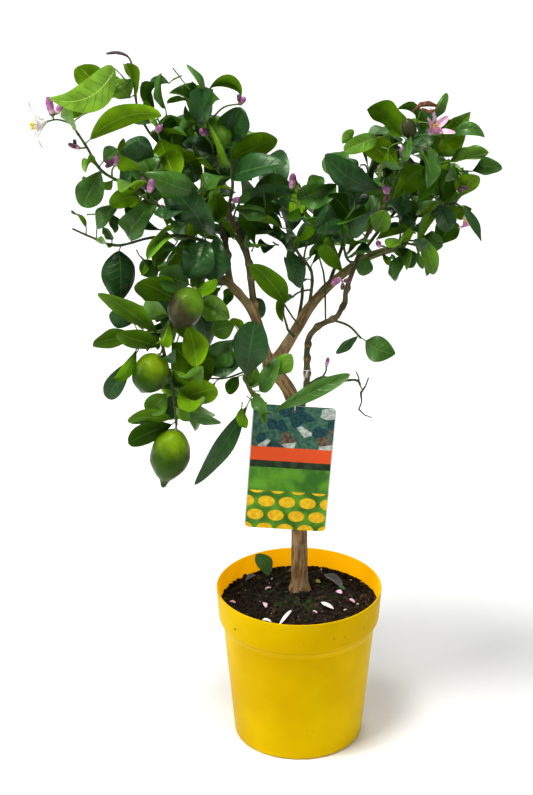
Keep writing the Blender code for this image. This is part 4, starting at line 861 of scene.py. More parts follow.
# %% Fruit, buds and flowers


def turned_shape(crown, mass, kind, foot, direction, profile, sides):
    """A turned solid that stands on a foot and points in a direction, as a shape for the test."""
    turn = UP.rotation_difference(direction)
    angles = [2 * math.pi * k / sides for k in range(sides)]
    rings = [[foot + turn @ Vector((math.cos(a) * r, math.sin(a) * r, z)) for a in angles]
             for r, z in profile]
    return crown.shape(mass, kind, *ring_shell(rings))


def grow_fruit(crown):
    for name, stalk, end, radius, nipple in FRUITS:
        mass, stalk, end = node_name(name), centimetres(stalk), centimetres(end)
        grow_twig(crown, mass, stalk.lerp(end, 0.03))
        profile = fruit_profile((end - stalk).length, radius * CM, nipple)
        crown.shapes.append(turned_shape(crown, mass, "fruit", stalk, end - stalk, profile, 10))
        crown.fruits.append((mass, stalk, end, radius * CM, nipple))


def fruit_profile(length, radius, nipple):
    """Radius and distance from the stalk end of a fruit that narrows to a nipple at its far end."""
    body = length * (1 - nipple)
    points = []
    for k in range(1, 8):
        angle = math.pi * k / 8
        share = (1 - math.cos(angle)) / 2
        points.append((radius * math.sin(angle) ** 0.9 * (1 - 0.25 * nipple * share), body * share))
    return [*points, (radius * (0.18 + nipple * 0.6), body * 0.985),
            (radius * (0.08 + nipple * 0.3), body + (length - body) * 0.6)]


def grow_buds(crown):
    for name, rows in BUDS.items():
        mass = node_name(name)
        for *middle, length, thickness in rows:
            middle = centimetres(middle)
            path, distance = nearest_branch(crown, mass, middle)
            outward = (middle - path.point(distance)).normalized()
            if not grow_twig(crown, mass, middle - outward * length * MM * 0.35):
                continue
            profile = [(girth * (thickness * MM) / 2, level * (length * MM)) for girth, level in BUD_RINGS]
            shape = turned_shape(crown, mass, "bud", middle, outward, profile, 6)
            if crown.free(shape, {(mass, "wood"), (mass, "bud")}):
                crown.shapes.append(shape)
                crown.buds.append((mass, middle, outward, length * MM, thickness * MM))


def grow_flowers(crown):
    for name, middle, facing, length, petals, spread in FLOWERS:
        mass, middle, facing = node_name(name), centimetres(middle), Vector(facing).normalized()
        twig = grow_twig(crown, mass, middle)
        root = twig.point(twig.length - 1 * MM) if twig else middle
        across = facing.orthogonal().normalized()
        for k in range(petals):
            around = Quaternion(facing, 2 * math.pi * (k + 0.3) / petals) @ across
            lean = math.radians(spread * (0.8 + 0.1 * (k % 3)))
            out = facing * math.cos(lean) + around * math.sin(lean)
            petal = Leaf(mass, root, middle + out * 2 * MM, middle + out * length * CM, -around, PETAL_WIDTH,
                         PETAL_BEND, PETAL_FOLD, "petal")
            place_leaf(crown, petal, {(mass, "wood"), (mass, "petal"), (mass, "bud")})


print("fruit and blossom can grow")

# %% Leaves that show, and leaves by rule


def grow_signature_leaves(crown):
    for mass, (*_, rows) in MASSES.items():
        chance = random.Random(mass)
        for foot, tip, face, *extra in rows:
            foot, tip = centimetres(foot), centimetres(tip)
            width = extra[0] * CM if extra else usual_width((tip - foot).length)
            bend = extra[1] if len(extra) > 1 else chance.uniform(0.35, 0.8)
            node = tie_leaf(crown, mass, foot, tip)
            if node is None:
                continue
            facing = Vector((chance.uniform(-0.35, 0.35), *((-0.85, 0.5) if face == OVER else (0.8, 0.35))))
            fold = chance.uniform(0.15, 0.45)
            for trial in range(TRIES):
                less = 1 - 0.02 * trial
                reach = Quaternion(UP, (-1) ** trial * 0.05 * trial) @ (tip - foot) * less
                ahead = reach.normalized() * 0.8 * MM * trial
                leaf = Leaf(mass, node, foot + ahead, foot + reach, facing, width * less, bend, fold)
                if place_leaf(crown, leaf):
                    break


def grow_shoots(crown):
    """Shoots that leave a mass's stem round its sides by a seeded rule."""
    for mass, (_, _, _, (count, length), *_) in MASSES.items():
        chance = random.Random(mass + " shoots")
        stem = crown.branches[mass][0]
        for k in range(count):
            distance = stem.length * (0.3 + 0.7 * (k + 0.5) / count)
            along = stem.tangent(distance)
            around = Quaternion(along, GOLDEN_ANGLE * k + chance.uniform(-0.4, 0.4)) @ along.orthogonal()
            for trial in range(TRIES):
                out = Quaternion(along, 0.7 * trial) @ around.normalized()
                lean = chance.uniform(0.6, 1.1)
                way = (along * math.cos(lean) + out * math.sin(lean) + UP * 0.25).normalized()
                target = stem.point(distance) + way * length * CM * chance.uniform(0.75, 1.15)
                if not in_sky(target) and grow_twig(crown, mass, target):
                    break


def in_ellipses(x, z, ellipses):
    return any(((x - middle) / wide) ** 2 + ((z - height) / tall) ** 2 < 1
               for middle, height, wide, tall in ellipses)


def in_sky(point):
    """Whether a point lies beyond the crown's reach or in one of its openings."""
    x, z = point.x / CM, point.z / CM
    return not REACH[0] < x < REACH[1] or z > REACH[2] or in_ellipses(x, z, SKY)


def grow_rule_leaves(crown):
    """Leaves up each branch at even internodes, each turned on by the golden angle, and one at its tip."""
    for mass, (_, _, _, (count, _), *_) in MASSES.items():
        if mass == "bare_twig":
            continue
        chance = random.Random(mass + " leaves")
        size = 6 * CM if count > 3 else 5 * CM
        turn = chance.uniform(0, 6)
        for path in list(crown.branches[mass]):
            first = path.length - 1 * MM
            stem = path is crown.branches[mass][0]
            last = crown.starts[mass] + path.length * 0.22 if stem else 0.014
            for k in range(max(0, int((first - last) / INTERNODE) + 1)):
                node, along = path.point(first - k * INTERNODE), path.tangent(first - k * INTERNODE)
                turn += GOLDEN_ANGLE
                if any((leaf.node - node).length < 0.35 * INTERNODE for leaf in crown.leaves):
                    continue
                for trial in range(TRIES):
                    around = Quaternion(along, turn + 0.75 * trial) @ along.orthogonal().normalized()
                    lean = chance.uniform(0.25, 0.6) if k == 0 and trial < 3 else chance.uniform(0.8, 1.25)
                    way = along * math.cos(lean) + around * math.sin(lean) + UP * chance.uniform(-0.25, 0.3)
                    way.normalize()
                    length = size * chance.uniform(0.75, 1.15) * (1 - 0.04 * trial)
                    foot = node + way * PETIOLE
                    tip = foot + way * length
                    if in_sky(tip) or in_sky(foot.lerp(tip, 0.5)):
                        continue
                    facing = UP + around * 0.3 + Vector((0, -0.9, 0)) * chance.random()
                    leaf = Leaf(mass, node, foot, tip, facing, usual_width(length) * 0.93,
                                chance.uniform(0.3, 1.0), chance.uniform(0.2, 0.6))
                    if place_leaf(crown, leaf):
                        break


crown = Crown()
for step in (grow_limbs, grow_fruit, grow_flowers, grow_buds, grow_signature_leaves, grow_shoots,
             grow_rule_leaves):
    step(crown)
print(len(crown.leaves), "leaves as in the frame")

# %% [markdown]
# ## Leaves that show
#
# The frame's leaves give way a little wherever a neighbour stood in the way. The leaves that show in front
# get their full length and place back here, unless wood, fruit or a bud is there. Some of the others are
# turned over, because leaves on rising shoots show their pale underside, and the openings of sky stay clear.

# %% Settle the leaves
OPENINGS = (
    (-14.6, 81.3, 3, 2.3), (-7, 80, 3.4, 1.5), (-4.2, 76.8, 2, 2.8), (5.8, 76, 2.4, 3), (19.6, 67, 2, 1.7),
    (-4, 53.6, 1.5, 3), (3.2, 56, 1.5, 2.4), (-18.8, 48.6, 1.7, 1.6), (-7, 42.4, 2, 1.8),
    (-18.3, 72.9, 2.2, 1.2), (-8.3, 76.4, 1.2, 1.2), (-3.3, 58.6, 1.7, 1.3), (9.4, 76.5, 1.6, 0.8),
    (-16.5, 78.6, 0.9, 1.8), (17.4, 71.3, 1.7, 1.1), (5.7, 48, 1.2, 1.2), (-5.6, 74.6, 0.8, 1.5),
    (1.1, 65.2, 1.3, 0.8), (19.3, 67.1, 1.2, 0.8), (-18.6, 60, 1.1, 0.9), (-16.7, 62, 1.2, 0.8),
    (0.2, 56.7, 0.6, 1.1), (-21.9, 65.7, 0.9, 0.9), (-19.9, 72.9, 0.9, 0.9), (19.5, 65.9, 0.9, 0.9),
    (-21.7, 80.3, 1, 1), (-22.9, 63.3, 1, 1), (16.4, 61.6, 0.9, 0.9), (-7.8, 58.5, 1.4, 2),
    (-25.1, 78, 1.3, 1.3), (-23.3, 72.7, 1.2, 1.2), (-19.9, 45.8, 1.4, 1.6), (6.8, 50.9, 1, 1),
    (-8.3, 74.9, 1, 1), (-8.8, 43.7, 0.8, 1), (11.7, 76.4, 0.9, 1.2), (-1.8, 59.5, 0.8, 0.7),
    (-4.2, 59.6, 1.3, 1), (-0.6, 51.9, 1.2, 1.8), (-26.6, 72.8, 0.55, 0.55), (-19.4, 58.4, 0.9, 0.9),
    (-16.2, 77.6, 0.9, 1.1), (16.4, 70.8, 0.9, 0.7), (-12.2, 47.1, 1.2, 0.7))
MOVED = {
    "left_tip": {
        0: ((-21, -2.4, 76.8), (-24.2, -2.6, 75.3)), 2: ((-21.1, -4, 71.1), (-23.4, -5, 68.9)),
        4: ((-11, -3, 67.3), (-16.2, -5.3, 70.2))},
    "top_left": {
        0: ((-19.1, -6, 81.4), (-26, -6.2, 78.4)), 1: ((-20.9, -3.5, 78.5), (-23, -4, 81.2)),
        4: ((-15.9, -1, 74.2), (-18.8, -1, 75.1))},
    "right_top": {1: ((7.7, -4.5, 73.6), (4.3, -6, 72.7)), 7: ((15.7, -1.5, 72.8), (19.1, -2, 73))},
    "right_tip": {1: ((18.1, 0, 68.6), (21.3, 0, 68.9)), 4: ((16.8, -5, 66.4), (18.8, -6, 62.8))},
    "right_low": {2: ((13, -3, 62.2), (14.1, -4, 58.4))},
    "centre": {1: ((-1.5, -2, 60.5), (-0.1, -2.5, 56.3)), 3: ((-1.7, -2.5, 54.6), (-5.3, -3.5, 59.5))},
    "fruit_branch": {
        1: ((-18.3, -4.2, 51.4), (-22.4, -5.5, 51.1)), 2: ((-15.2, -5, 50.6), (-19.6, -6.5, 52.8)),
        8: ((-13.1, -6.2, 42.8), (-18.6, -8, 43.4)), 9: ((-14, -5.7, 41.7), (-18.8, -6.6, 39.9)),
        11: ((-13.4, -3.5, 55.3), (-17.4, -5, 58))}}
FOREMOST = -9.5 * CM
FOREMOST_WIDTH = 0.45
TURNED_SHARE = 0.33
BACK_PART = 4 * CM
TOO_FAR = 2.5 * CM
FLAT = {"roll": 0, "twist": 0.1, "curl": -0.3, "fold": 0.18, "droop": 0.1, "wave": 0.05, "sickle": 0,
        "lop": 0.15}


def own(shade, width=None, **more):
    """A leaf's own numbers: its finish, its width in millimetres and more."""
    numbers = dict(more)
    if shade is not None:
        numbers["shade"] = shade
    if width is not None:
        numbers["width"] = width * MM
    return numbers


def flat(shade, width=None, **more):
    """The same for a leaf that lies almost flat."""
    return {**FLAT, **own(shade, width, **more)}


TOUCHES = {
    # The two broad leaves at the upper left, 0 and 1, take the lime shade 3: painted light for the light that
    # falls through them.
    "top_left": {
        0: flat(3, 35, bend=0.35, lean=0.6, full=0.7, sickle=0.9), 1: flat(3, 34, bend=0.4, full=0.45),
        2: own(2, 20, fold=0.9, roll=0.5), 3: own(1, 19, fold=0.9, roll=0.4), 4: flat(1, 14, fold=0.5)},
    "top": {
        0: own(2, 28, fold=0.6, roll=0.4), 3: flat(1, 16, fold=0.4, sickle=-0.6),
        7: flat(1, 34, fold=0.4, sickle=0.35), 8: flat(0, 36, fold=0.45, roll=0.3)},
    "left_tip": {
        0: flat(2, 24, full=0.5), 1: flat(2, 26, bend=0.8, fold=0.5, sickle=-0.35, full=0.5),
        2: flat(1, 31, bend=0.3, fold=0.4, wave=0.2, lean=1.4, full=0.5), 3: own(0, 24, fold=0.5),
        4: own(1, 30, fold=0.5, roll=0.45, curl=-1.6)},
    "left_side": {0: flat(0, 41, curl=-1.4, fold=0.35, full=0.5, lean=0.85)},
    "fruit_branch": {
        0: flat(1, 36, bend=0.25, full=0.6, lean=1.0), 1: flat(1, 34, bend=0.25, full=0.45, lean=0.9),
        2: flat(1, 34, bend=0.3, sickle=-0.25, full=0.45, lean=1.0),
        3: flat(0, 22, fold=0.4, lean=1.7, full=0.5),
        4: own(2, fold=0.25, roll=0.2, bend=0.5, lean=1.3, full=0.5),
        5: own(1, fold=0.3, roll=0.2, bend=0.4, lean=1.2, full=0.5),
        7: flat(2, 32, bend=0.3, lean=1.1, full=0.45), 8: flat(1, 36, bend=0.35, lean=1.3, full=0.45),
        9: flat(0, 37, bend=0.35, lean=1.25, full=0.45), 10: own(1, fold=0.3, lean=1.2, full=0.5),
        11: flat(1, 46, bend=0.5, full=0.5)},
    "front_low": {
        0: flat(0, 23, fold=0.35, twist=0.5, wave=0.16, lean=1.05, full=0.7),
        1: flat(1, 18, fold=0.3, lean=1.45, full=0.55),
        2: flat(0, 39, bend=0.5, wave=0.14, lean=1.3, full=0.45), 6: flat(None, 16)},
    "front_right": {0: flat(1, 29, sickle=-0.4, lean=0.85), 1: own(0, 10, fold=0.5, bend=1.3)},
    "right_top": {
        0: own(1, 33, fold=0.9, roll=0.5, twist=0.2, full=0.5), 1: flat(2, 19, fold=0.4, sickle=0.1),
        2: flat(2, 31, fold=0.35, full=0.5),
        3: flat(0, 31, fold=0.5, roll=0.4, curl=-1.6, bend=0.3, full=0.6, sickle=0.55),
        4: own(1, fold=0.7, roll=0.4, bend=1.3, full=0.6, sickle=0.7), 7: flat(1, 16, fold=0.4, sickle=0.8),
        8: own(1, 11)},
    "centre": {1: flat(0, 23, fold=0.4), 3: flat(1, 33, full=0.5, lean=0.9)},
    "right_tip": {
        1: own(1, 18, sickle=0.4, roll=0.3), 2: flat(2, 28, fold=0.3),
        4: flat(0, 10, wave=0.3, twist=0.9, sickle=0.2)},
    "right_low": {2: flat(2, 19, fold=0.4)},
}
EXTRA = (
    ("fruit_branch", (-14.5, -6.5, 45.6), (-16.5, -7, 43.6), 1.9, flat(2, full=0.4, lean=1.2)),
    ("front_low", (-2.5, -4.8, 47.2), (-1.1, -4.8, 49.6), 1.6, flat(2)),
    ("left_side", (-7.2, -1.5, 51.6), (-9.8, -1.5, 50.8), 1.9, flat(2)),
    ("left_side", (-6.2, 1, 53.6), (-3.9, 1, 51.9), 1.8, flat(0)),
    ("top_left", (-18, -2, 77.2), (-19.5, -2, 79.2), 1.9, flat(2)),
    ("fruit_branch", (-12.5, -4.6, 42.3), (-14.9, -4.6, 43.9), 2.2, flat(0)),
    ("left_side", (-20.3, -1, 61.2), (-21.1, -1.5, 62.8), 1, own(1)),
    ("right_top", (5.2, -1.5, 72.5), (4.3, -1.5, 73.3), 1.4, flat(2)),
    ("right_low", (7.1, -2, 59.7), (6.5, -2.5, 57.7), 1.4, flat(1)),
    ("right_low", (10.9, -3, 61), (11.9, -3.5, 59), 1.5, flat(0)),
    ("right_inner", (1.9, -1, 66.8), (1, -1, 68.4), 1.7, {}),
    ("left_side", (-20.1, -2, 64.5), (-19.7, -2, 62.5), 1.2, {}),
    ("fruit_branch", (-18.1, -3, 52.5), (-20.7, -3, 53.4), 1.7, flat(0)),
    ("left_tip", (-20.8, -3.5, 70.8), (-19.2, -4, 72.2), 1.8, flat(1, fold=0.9, curl=-2)),
    ("right_tip", (14.4, -2, 65.5), (15.7, -2.5, 62.8), 2, flat(0, fold=0.4)),
    ("left_side", (-15.6, -2, 59.2), (-17, -2.5, 57.7), 1.8, flat(1)),
    ("right_low", (7.9, -2.5, 62.7), (8.9, -3, 65.2), 1.8, flat(2, fold=0.4)),
    ("fruit_branch", (-13.4, -7, 44.2), (-12, -7.5, 42.9), 1.1, flat(2)),
    ("fruit_branch", (-12, -3.5, 57.1), (-15.2, -4, 58.4), 2.4, flat(1, fold=0.4, full=0.5)),
    ("front_low", (-5.7, -3, 44.8), (-4.9, -3, 47.4), 1.6, flat(2)),
)


def in_opening(point):
    """Whether a point lies in an opening, as seen from the camera through the plane of the trunk."""
    eye = camera.location
    seen = eye.lerp(point, eye.y / (eye.y - point.y)) / CM
    return in_ellipses(seen.x, seen.z, OPENINGS)


def settle(crown):
    """Gives the leaves of the tables their full shapes, and returns each one's own numbers."""
    solid = [tree for _, kind, _, _, tree in crown.shapes if kind in ("wood", "fruit", "bud")]
    known = {}
    for mass, (*_, rows) in MASSES.items():
        spray = mass.removeprefix("foliage_")
        grown_here = [leaf for leaf in crown.leaves if leaf.mass == mass and leaf.kind == "leaf"]
        for number, (foot, tip, face, *extra) in enumerate(rows):
            foot, tip = centimetres(foot), centimetres(tip)
            usual = usual_width((tip - foot).length)
            off, _, near = min(((leaf.tip - tip).length + (leaf.foot - foot).length, k, leaf)
                               for k, leaf in enumerate(grown_here))
            if off > TOO_FAR:
                path, distance = nearest_branch(crown, mass, foot)
                facing = Vector((0, -0.85 * face, 0.5))
                near = Leaf(mass, path.point(distance), foot, tip, facing, usual, 0.5, 0.3)
                crown.leaves.append(near)
            if number in MOVED.get(spray, ()):
                foot, tip = map(centimetres, MOVED[spray][number])
            width = extra[0] * CM if extra else usual
            whole = Leaf(mass, near.node, foot, tip, near.normal, width, near.bend, near.fold)
            shape = crown.shape(mass, "leaf", *whole.hull())
            if not any(shape[4].overlap(tree) for tree in solid):
                near.__dict__.update(whole.__dict__)
                crown.shapes.append(shape)
            known[id(near)] = TOUCHES.get(spray, {}).get(number, {})
    paths = [*crown.limbs.values(), *(path for branches in crown.branches.values() for path in branches)]
    points = [point for path in paths for point in path.fine]
    for name, foot, tip, width, numbers in EXTRA:
        foot, tip = centimetres(foot), centimetres(tip)
        node = min(points, key=lambda point: (point - foot).length)
        leaf = Leaf(node_name(name), node, foot, tip, Vector((0.1, -0.85, 0.5)), width * CM, 0.5, 0.3)
        crown.leaves.append(leaf)
        known[id(leaf)] = numbers
    return known


def stays(leaf):
    """Whether a leaf is in the tables, a petal or far in front, or else keeps out of the openings."""
    if id(leaf) in known_leaves or leaf.kind == "petal" or leaf.tip.y < FOREMOST:
        return True
    return not any(map(in_opening, (leaf.node, *(leaf.foot.lerp(leaf.tip, k / 4) for k in range(5)))))


known_leaves = settle(crown)
crown.leaves = [leaf for leaf in crown.leaves if stays(leaf)]
for leaf in crown.leaves:
    if leaf.tip.y < FOREMOST:
        leaf.width *= FOREMOST_WIDTH
    if id(leaf) not in known_leaves and leaf.kind == "leaf" and leaf.foot.y < BACK_PART:
        if random.Random(f"{leaf.tip.x:.4f} turned").random() < TURNED_SHARE:
            leaf.normal = -leaf.normal
print(len(known_leaves), "leaves from the tables,", len(crown.leaves), "in all")

# %% [markdown]
# ## Finer growth
#
# The frame's solids keep to a few hundred large leaves. The real crown also has small young leaves between
# them. They grow on the same twigs, closer together and under the same tests, and stay out of the openings
# where the sky shows.

# %% Young leaves and fine twigs
FINE_SIZE = (2.2, 4.2)
FINE_STEP = 0.0125


def grow_finer(crown):
    for mass in MASSES:
        if mass == "bare_twig":
            continue
        chance = random.Random(mass + " finer")
        turn = chance.uniform(0, 6)
        for path in list(crown.branches[mass]):
            stem = path is crown.branches[mass][0]
            last = crown.starts[mass] + path.length * 0.15 if stem else 0.01
            distance = path.length - 2 * MM
            while distance > last:
                node, along = path.point(distance), path.tangent(distance)
                distance -= FINE_STEP * chance.uniform(0.8, 1.3)
                turn += GOLDEN_ANGLE
                if any((leaf.node - node).length < 2.5 * MM for leaf in crown.leaves):
                    continue
                for trial in range(4):
                    around = Quaternion(along, turn + 1.3 * trial) @ along.orthogonal().normalized()
                    lean = chance.uniform(0.6, 1.2)
                    way = along * math.cos(lean) + around * math.sin(lean) + UP * chance.uniform(-0.15, 0.3)
                    way.normalize()
                    length = chance.uniform(*FINE_SIZE) * CM
                    foot = node + way * PETIOLE * 0.7
                    tip = foot + way * length
                    spots = (tip, foot.lerp(tip, 0.5), foot.lerp(tip, 0.75))
                    if any(in_sky(spot) or in_opening(spot) for spot in spots):
                        continue
                    facing = UP + around * 0.3 + Vector((0, -0.7, 0)) * chance.random()
                    if chance.random() < 0.35:
                        facing.negate()
                    leaf = Leaf(mass, node, foot, tip, facing, usual_width(length) * 0.62,
                                chance.uniform(0.2, 0.9), chance.uniform(0.3, 0.7), "young")
                    if place_leaf(crown, leaf):
                        break


grow_finer(crown)
kinds = [leaf.kind for leaf in crown.leaves]
print({kind: kinds.count(kind) for kind in sorted(set(kinds))})

# %% [markdown]
# ## Leaf finishes
#
# A lemon leaf is dark and softly glossy above, matt and yellower below, with a pale midrib. Its shade
# depends on its age. The shades are dealt out leaf by leaf as plain colours with a faint mottle, and each
# shade has three finishes: upper face, under face and midrib. Each face is painted darker at the foot and by
# the midrib and lighter towards the margins, which is painted shade and painted light.

# %% Leaf finishes
SHADES = {
    "deep": ((0.01, 0.04, 0.008), (0.023, 0.07, 0.001), (0.04, 0.105, 0.018)),
    "green": ((0.03, 0.09, 0.009), (0.052, 0.124, 0.001), (0.08, 0.165, 0.02)),
    "fresh": ((0.071, 0.17, 0.008), (0.092, 0.192, 0.002), (0.145, 0.27, 0.022)),
    "lime": ((0.11, 0.228, 0.011), (0.1, 0.222, 0.001), (0.24, 0.38, 0.045)),
}
SHEEN = (0.75, 1.0, 0.62)


def times(factor, colour):
    return tuple(factor * channel for channel in colour)


def veined(made, colour, pale, strength):
    """Side veins that leave the midrib at a slant, drawn from the place along and across the leaf,
    over painted shade at the foot and by the midrib and painted light towards the margins.
    """
    along, across = made.carried("along"), abs(made.carried("across"))
    wave = made.reckon("FRACT", along * 8 - across * 1.3 + made.speckle(90) * 0.3)
    vein = made.fade(abs(wave - 0.5), 0.36, 0.5) * made.fade(1 - across, 0.0, 0.5)
    # Painted shade and painted light: each face is darker at the leaf's foot and by its midrib, and lighter
    # towards its margins.
    dim = 0.5 + 0.34 * made.fade(along, 0.0, 0.45) + 0.26 * made.fade(across, 0.15, 0.95)
    made.feed("Base Color", made.blend(vein * strength, colour * dim, pale))
    made.relief(made.speckle(700) * 0.4 - vein, 0.5, 0.0004)


def shade_finishes(shade, upper, under, rib):
    """The finishes of the upper face, the under face and the midrib."""
    top = Finish(f"leaf {shade} upper", 0.36, 0.34, specular_tint=SHEEN)
    drift = top.fade(top.speckle(55, 3), 0.35, 0.65)
    net, strength = (times(0.4, upper), 0.6) if shade == "lime" else (rib, 0.3)
    veined(top, top.blend(drift, upper, times(1.5, upper)), net, strength)
    below = Finish(f"leaf {shade} under", 0.65, 0.05, specular_tint=SHEEN)
    drift = below.fade(below.speckle(45, 3), 0.35, 0.65)
    veined(below, below.blend(drift, under, times(1.45, under)), rib, 0.22)
    return [top, below, mottled(f"leaf {shade} midrib", rib, times(1.3, rib), 80, 0.5, 0.1)]


leaf_finishes = [made for shade, colours in SHADES.items() for made in shade_finishes(shade, *colours)]
print(len(leaf_finishes), "leaf finishes")

# %% [markdown]
# ## The blade
#
# The flat blade is a strip of cells in rows along the leaf and columns across it, on both faces, with a
# narrow column in the middle for the midrib. Its rows stand closer at the foot and the tip. Each corner only
# carries its place: how far along it is, how far out, and which face it is on. The leaves that show in front
# get a finer blade than the hundreds behind them.

# %% The blade
FINE_COLUMNS = (-1, -0.8, -0.42, -0.03, 0.03, 0.42, 0.8, 1)
PLAIN_COLUMNS = (-1, -0.55, -0.04, 0.04, 0.55, 1)


def blade(name, rows, columns):
    """A closed flat blade of two layers that share their margins and their tip."""
    corners, numbers, cells, zones = [], {}, [], []
    even = [level / rows for level in range(rows + 1)]
    stations = [0.5 * s + 0.5 * (1 - math.cos(math.pi * s)) / 2 for s in even]

    def corner(level, across, layer):
        key = "tip" if level == rows else (level, across, layer if abs(across) < 1 else 0)
        if key not in numbers:
            numbers[key] = len(corners)
            corners.append((stations[level], 0 if level == rows else across, key != "tip" and key[2]))
        return numbers[key]

    for layer in (0, 1):
        for level in range(rows):
            for k, (left, right) in enumerate(zip(columns, columns[1:])):
                cell = [corner(level, left, layer), corner(level, right, layer),
                        corner(level + 1, right, layer), corner(level + 1, left, layer)]
                cell = list(dict.fromkeys(cell))
                cells.append(cell if layer else [cell[0], *cell[:0:-1]])
                zones.append(2.0 if k == len(columns) // 2 - 1 else float(layer))
    top, under = ([corner(0, across, layer) for across in columns] for layer in (0, 1))
    cells.append(top + under[-2:0:-1])
    zones.append(2.0)
    mesh = bpy.data.meshes.new(name)
    mesh.from_pydata([(across, along, 0) for along, across, _ in corners], [], cells)
    for label, column in zip(("along", "across", "layer"), zip(*corners)):
        carry(mesh, label, column)
    carry(mesh, "zone", zones, "FACE")
    print(name, len(cells), "faces")
    return shown(name, mesh)


fine_blade = blade("fine_blade", 20, FINE_COLUMNS)
plain_blade = blade("plain_blade", 12, PLAIN_COLUMNS)

# %% [markdown]
# ## The leaf tree
#
# A copy of the blade is put on each point and realized, so that every corner knows its leaf's numbers. One
# formula then shapes it. The outline is a sine raised to powers that taper its foot and make its tip pointed
# or blunt. The midrib is an arc that may swing sideways and whose tip droops. The blade twists about it,
# folds up from it, curls at its margins and waves along its edges. Modifiers on each leaf would do it too,
# but hundreds of leaves are lighter in one tree.

# %% The leaf tree
LEAF_NUMBERS = ("length", "width", "bend", "fold", "roll", "twist", "curl", "wave", "phase", "droop",
                "lean", "full", "sickle", "lop")


def leaf_tree(finishes):
    tree = Tree("Leaves", Blade=None, Keel=0.00035)
    along, across, layer = map(tree.kept, ("along", "across", "layer"))
    foot, ahead, upward = (tree.kept(name, "FLOAT_VECTOR") for name in ("foot", "ahead", "upward"))
    length, width, bend, fold, roll, twist, curl, wave, phase, droop, lean, full, sickle, lop = map(
        tree.kept, LEAF_NUMBERS)
    blades = tree.add("GeometryNodeObjectInfo", (), {"Object": tree.given("Blade")}, "Geometry")
    copies = tree.add("GeometryNodeInstanceOnPoints", (), {"Points": tree.given(), "Instance": blades})

    def sine(angle):
        return tree.reckon("SINE", angle)

    def cosine(angle):
        return tree.reckon("COSINE", angle)

    turn = bend * (along - 0.5)
    scale = length / (2 * sine(bend / 2))
    tip = tree.reckon("MAXIMUM", along - 0.5, 0.0)
    lift = upward * cosine(turn) + ahead * sine(turn)
    middle = (foot + ahead * (scale * (sine(turn) + sine(bend / 2)))
              + upward * (scale * (cosine(turn) - cosine(bend / 2)) - droop * length * tip * tip))
    aside = tree.reckon("CROSS_PRODUCT", ahead, upward)
    middle = middle + aside * (sickle * length * along * (along - 1))
    swing = roll + twist * (along - 0.4)
    rolled = aside * cosine(swing) + lift * sine(swing)
    raised = lift * cosine(swing) - aside * sine(swing)
    out = abs(across)
    outline = sine((along ** lean) * math.pi) ** (full + 0.35 * (1 - along))
    half = width / 2 * outline * (1 + 0.025 * sine(along * 11 + phase + across)) + 0.0004 * (1 - along)
    slope = fold + lop * across + curl * out / 2
    ripple = sine(along * 10 + phase + across * 1.7) * wave * out * out
    thin = tree.given("Keel") * (1 - out * out) * (1 - along * 0.6) * (0.6 + 1.4 * layer)
    reach = half * across * cosine(slope)
    rise = half * (out * sine(slope) + ripple) + thin * (1 - 2 * layer)
    bent = tree.moved(tree.realized(copies), Position=middle + rolled * reach + raised * rise)
    tree.end(tree.painted(bent, finishes, tree.kept("shade") * 3 + tree.kept("zone")))
    return tree


leaves_tree = leaf_tree(leaf_finishes)


def leaf_points(name, leaves, numbers):
    """One point for each leaf, carrying its numbers."""
    rows = [numbers(leaf) for leaf in leaves]
    columns = {label: [row[label] for row in rows] for label in rows[0]}
    feet = [leaf.foot for leaf in leaves]
    return carrying(name + "_points", feet, foot=feet, ahead=[leaf.along for leaf in leaves],
                    upward=[leaf.normal for leaf in leaves], **columns)


def bladed(name, leaves, numbers, tree, tool):
    """All leaves of a piece, with the thin margins of their blades kept sharp."""
    made = grown(tree, leaf_points(name, leaves, numbers), name, Blade=tool)
    made.data.set_sharp_from_angle(angle=math.radians(80))
    return made


def seated(made, nodes):
    """Seats a finished piece in the frame: on its body, in place of the nodes it stands for."""
    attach(made, "root")
    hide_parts(*nodes)


print("leaf tree ready")

# %% [markdown]
# ## The crown's leaves
#
# Each spray has its own leaning towards dark or light: the fruiting branch and the inner growth are lighter,
# the tips are dark. Leaves far back in the crown mostly take the dark shades, which is painted shade. Two
# broad leaves at the upper left are the palest: their lime shade is painted light, for the light that falls
# through them. Most leaves have numbers by chance, and the few that stand out in front have some of their own.

# %% The crown's leaves
LEANING = {"foliage_fruit_branch": (1, 6, 4, 0), "foliage_left_side": (4, 5, 2, 0),
           "foliage_front_low": (5, 4, 1, 0), "foliage_left_tip": (2, 5, 3, 0)}


def leaf_numbers(leaf):
    chance = random.Random(f"{leaf.foot.x:.4f} {leaf.foot.z:.4f} leaf")
    weights = LEANING.get(leaf.mass, (6, 6, 2, 0))
    # Painted shade: leaves far back in the crown mostly take the dark shades.
    if leaf.foot.y > 0.012:
        weights = (9, 5, 1, 0)
    elif leaf.kind == "young":
        weights = (2, 5, 4, 0.2)
    slender = leaf.width < 0.32 * leaf.chord.length
    blunt = 0.2 if slender else 1 - chance.random() ** 1.6
    known = id(leaf) in known_leaves
    roll = chance.choice((-1, 1)) * chance.uniform(0.25, 0.75) if known else chance.gauss(0, 0.45)
    numbers = {"length": leaf.chord.length, "width": leaf.width * (1.28 if known else 1.18),
               "bend": leaf.bend * 1.5, "fold": leaf.fold * 0.8 + chance.uniform(0.25, 0.75), "roll": roll,
               "twist": max(-1.5, min(1.5, chance.gauss(0, 0.8))), "curl": chance.uniform(-1.7, 0.1),
               "wave": chance.uniform(0.05, 0.28 if known else 0.18), "phase": chance.uniform(0, 6.28),
               "droop": chance.uniform(-0.3, 1.5), "lean": 0.88 + 0.34 * blunt, "full": 0.85 - 0.38 * blunt,
               "sickle": chance.gauss(0, 0.17), "lop": max(-0.7, min(0.7, chance.gauss(0, 0.4))),
               "shade": chance.choices(range(4), weights)[0]}
    return {**numbers, **known_leaves.get(id(leaf), {})}


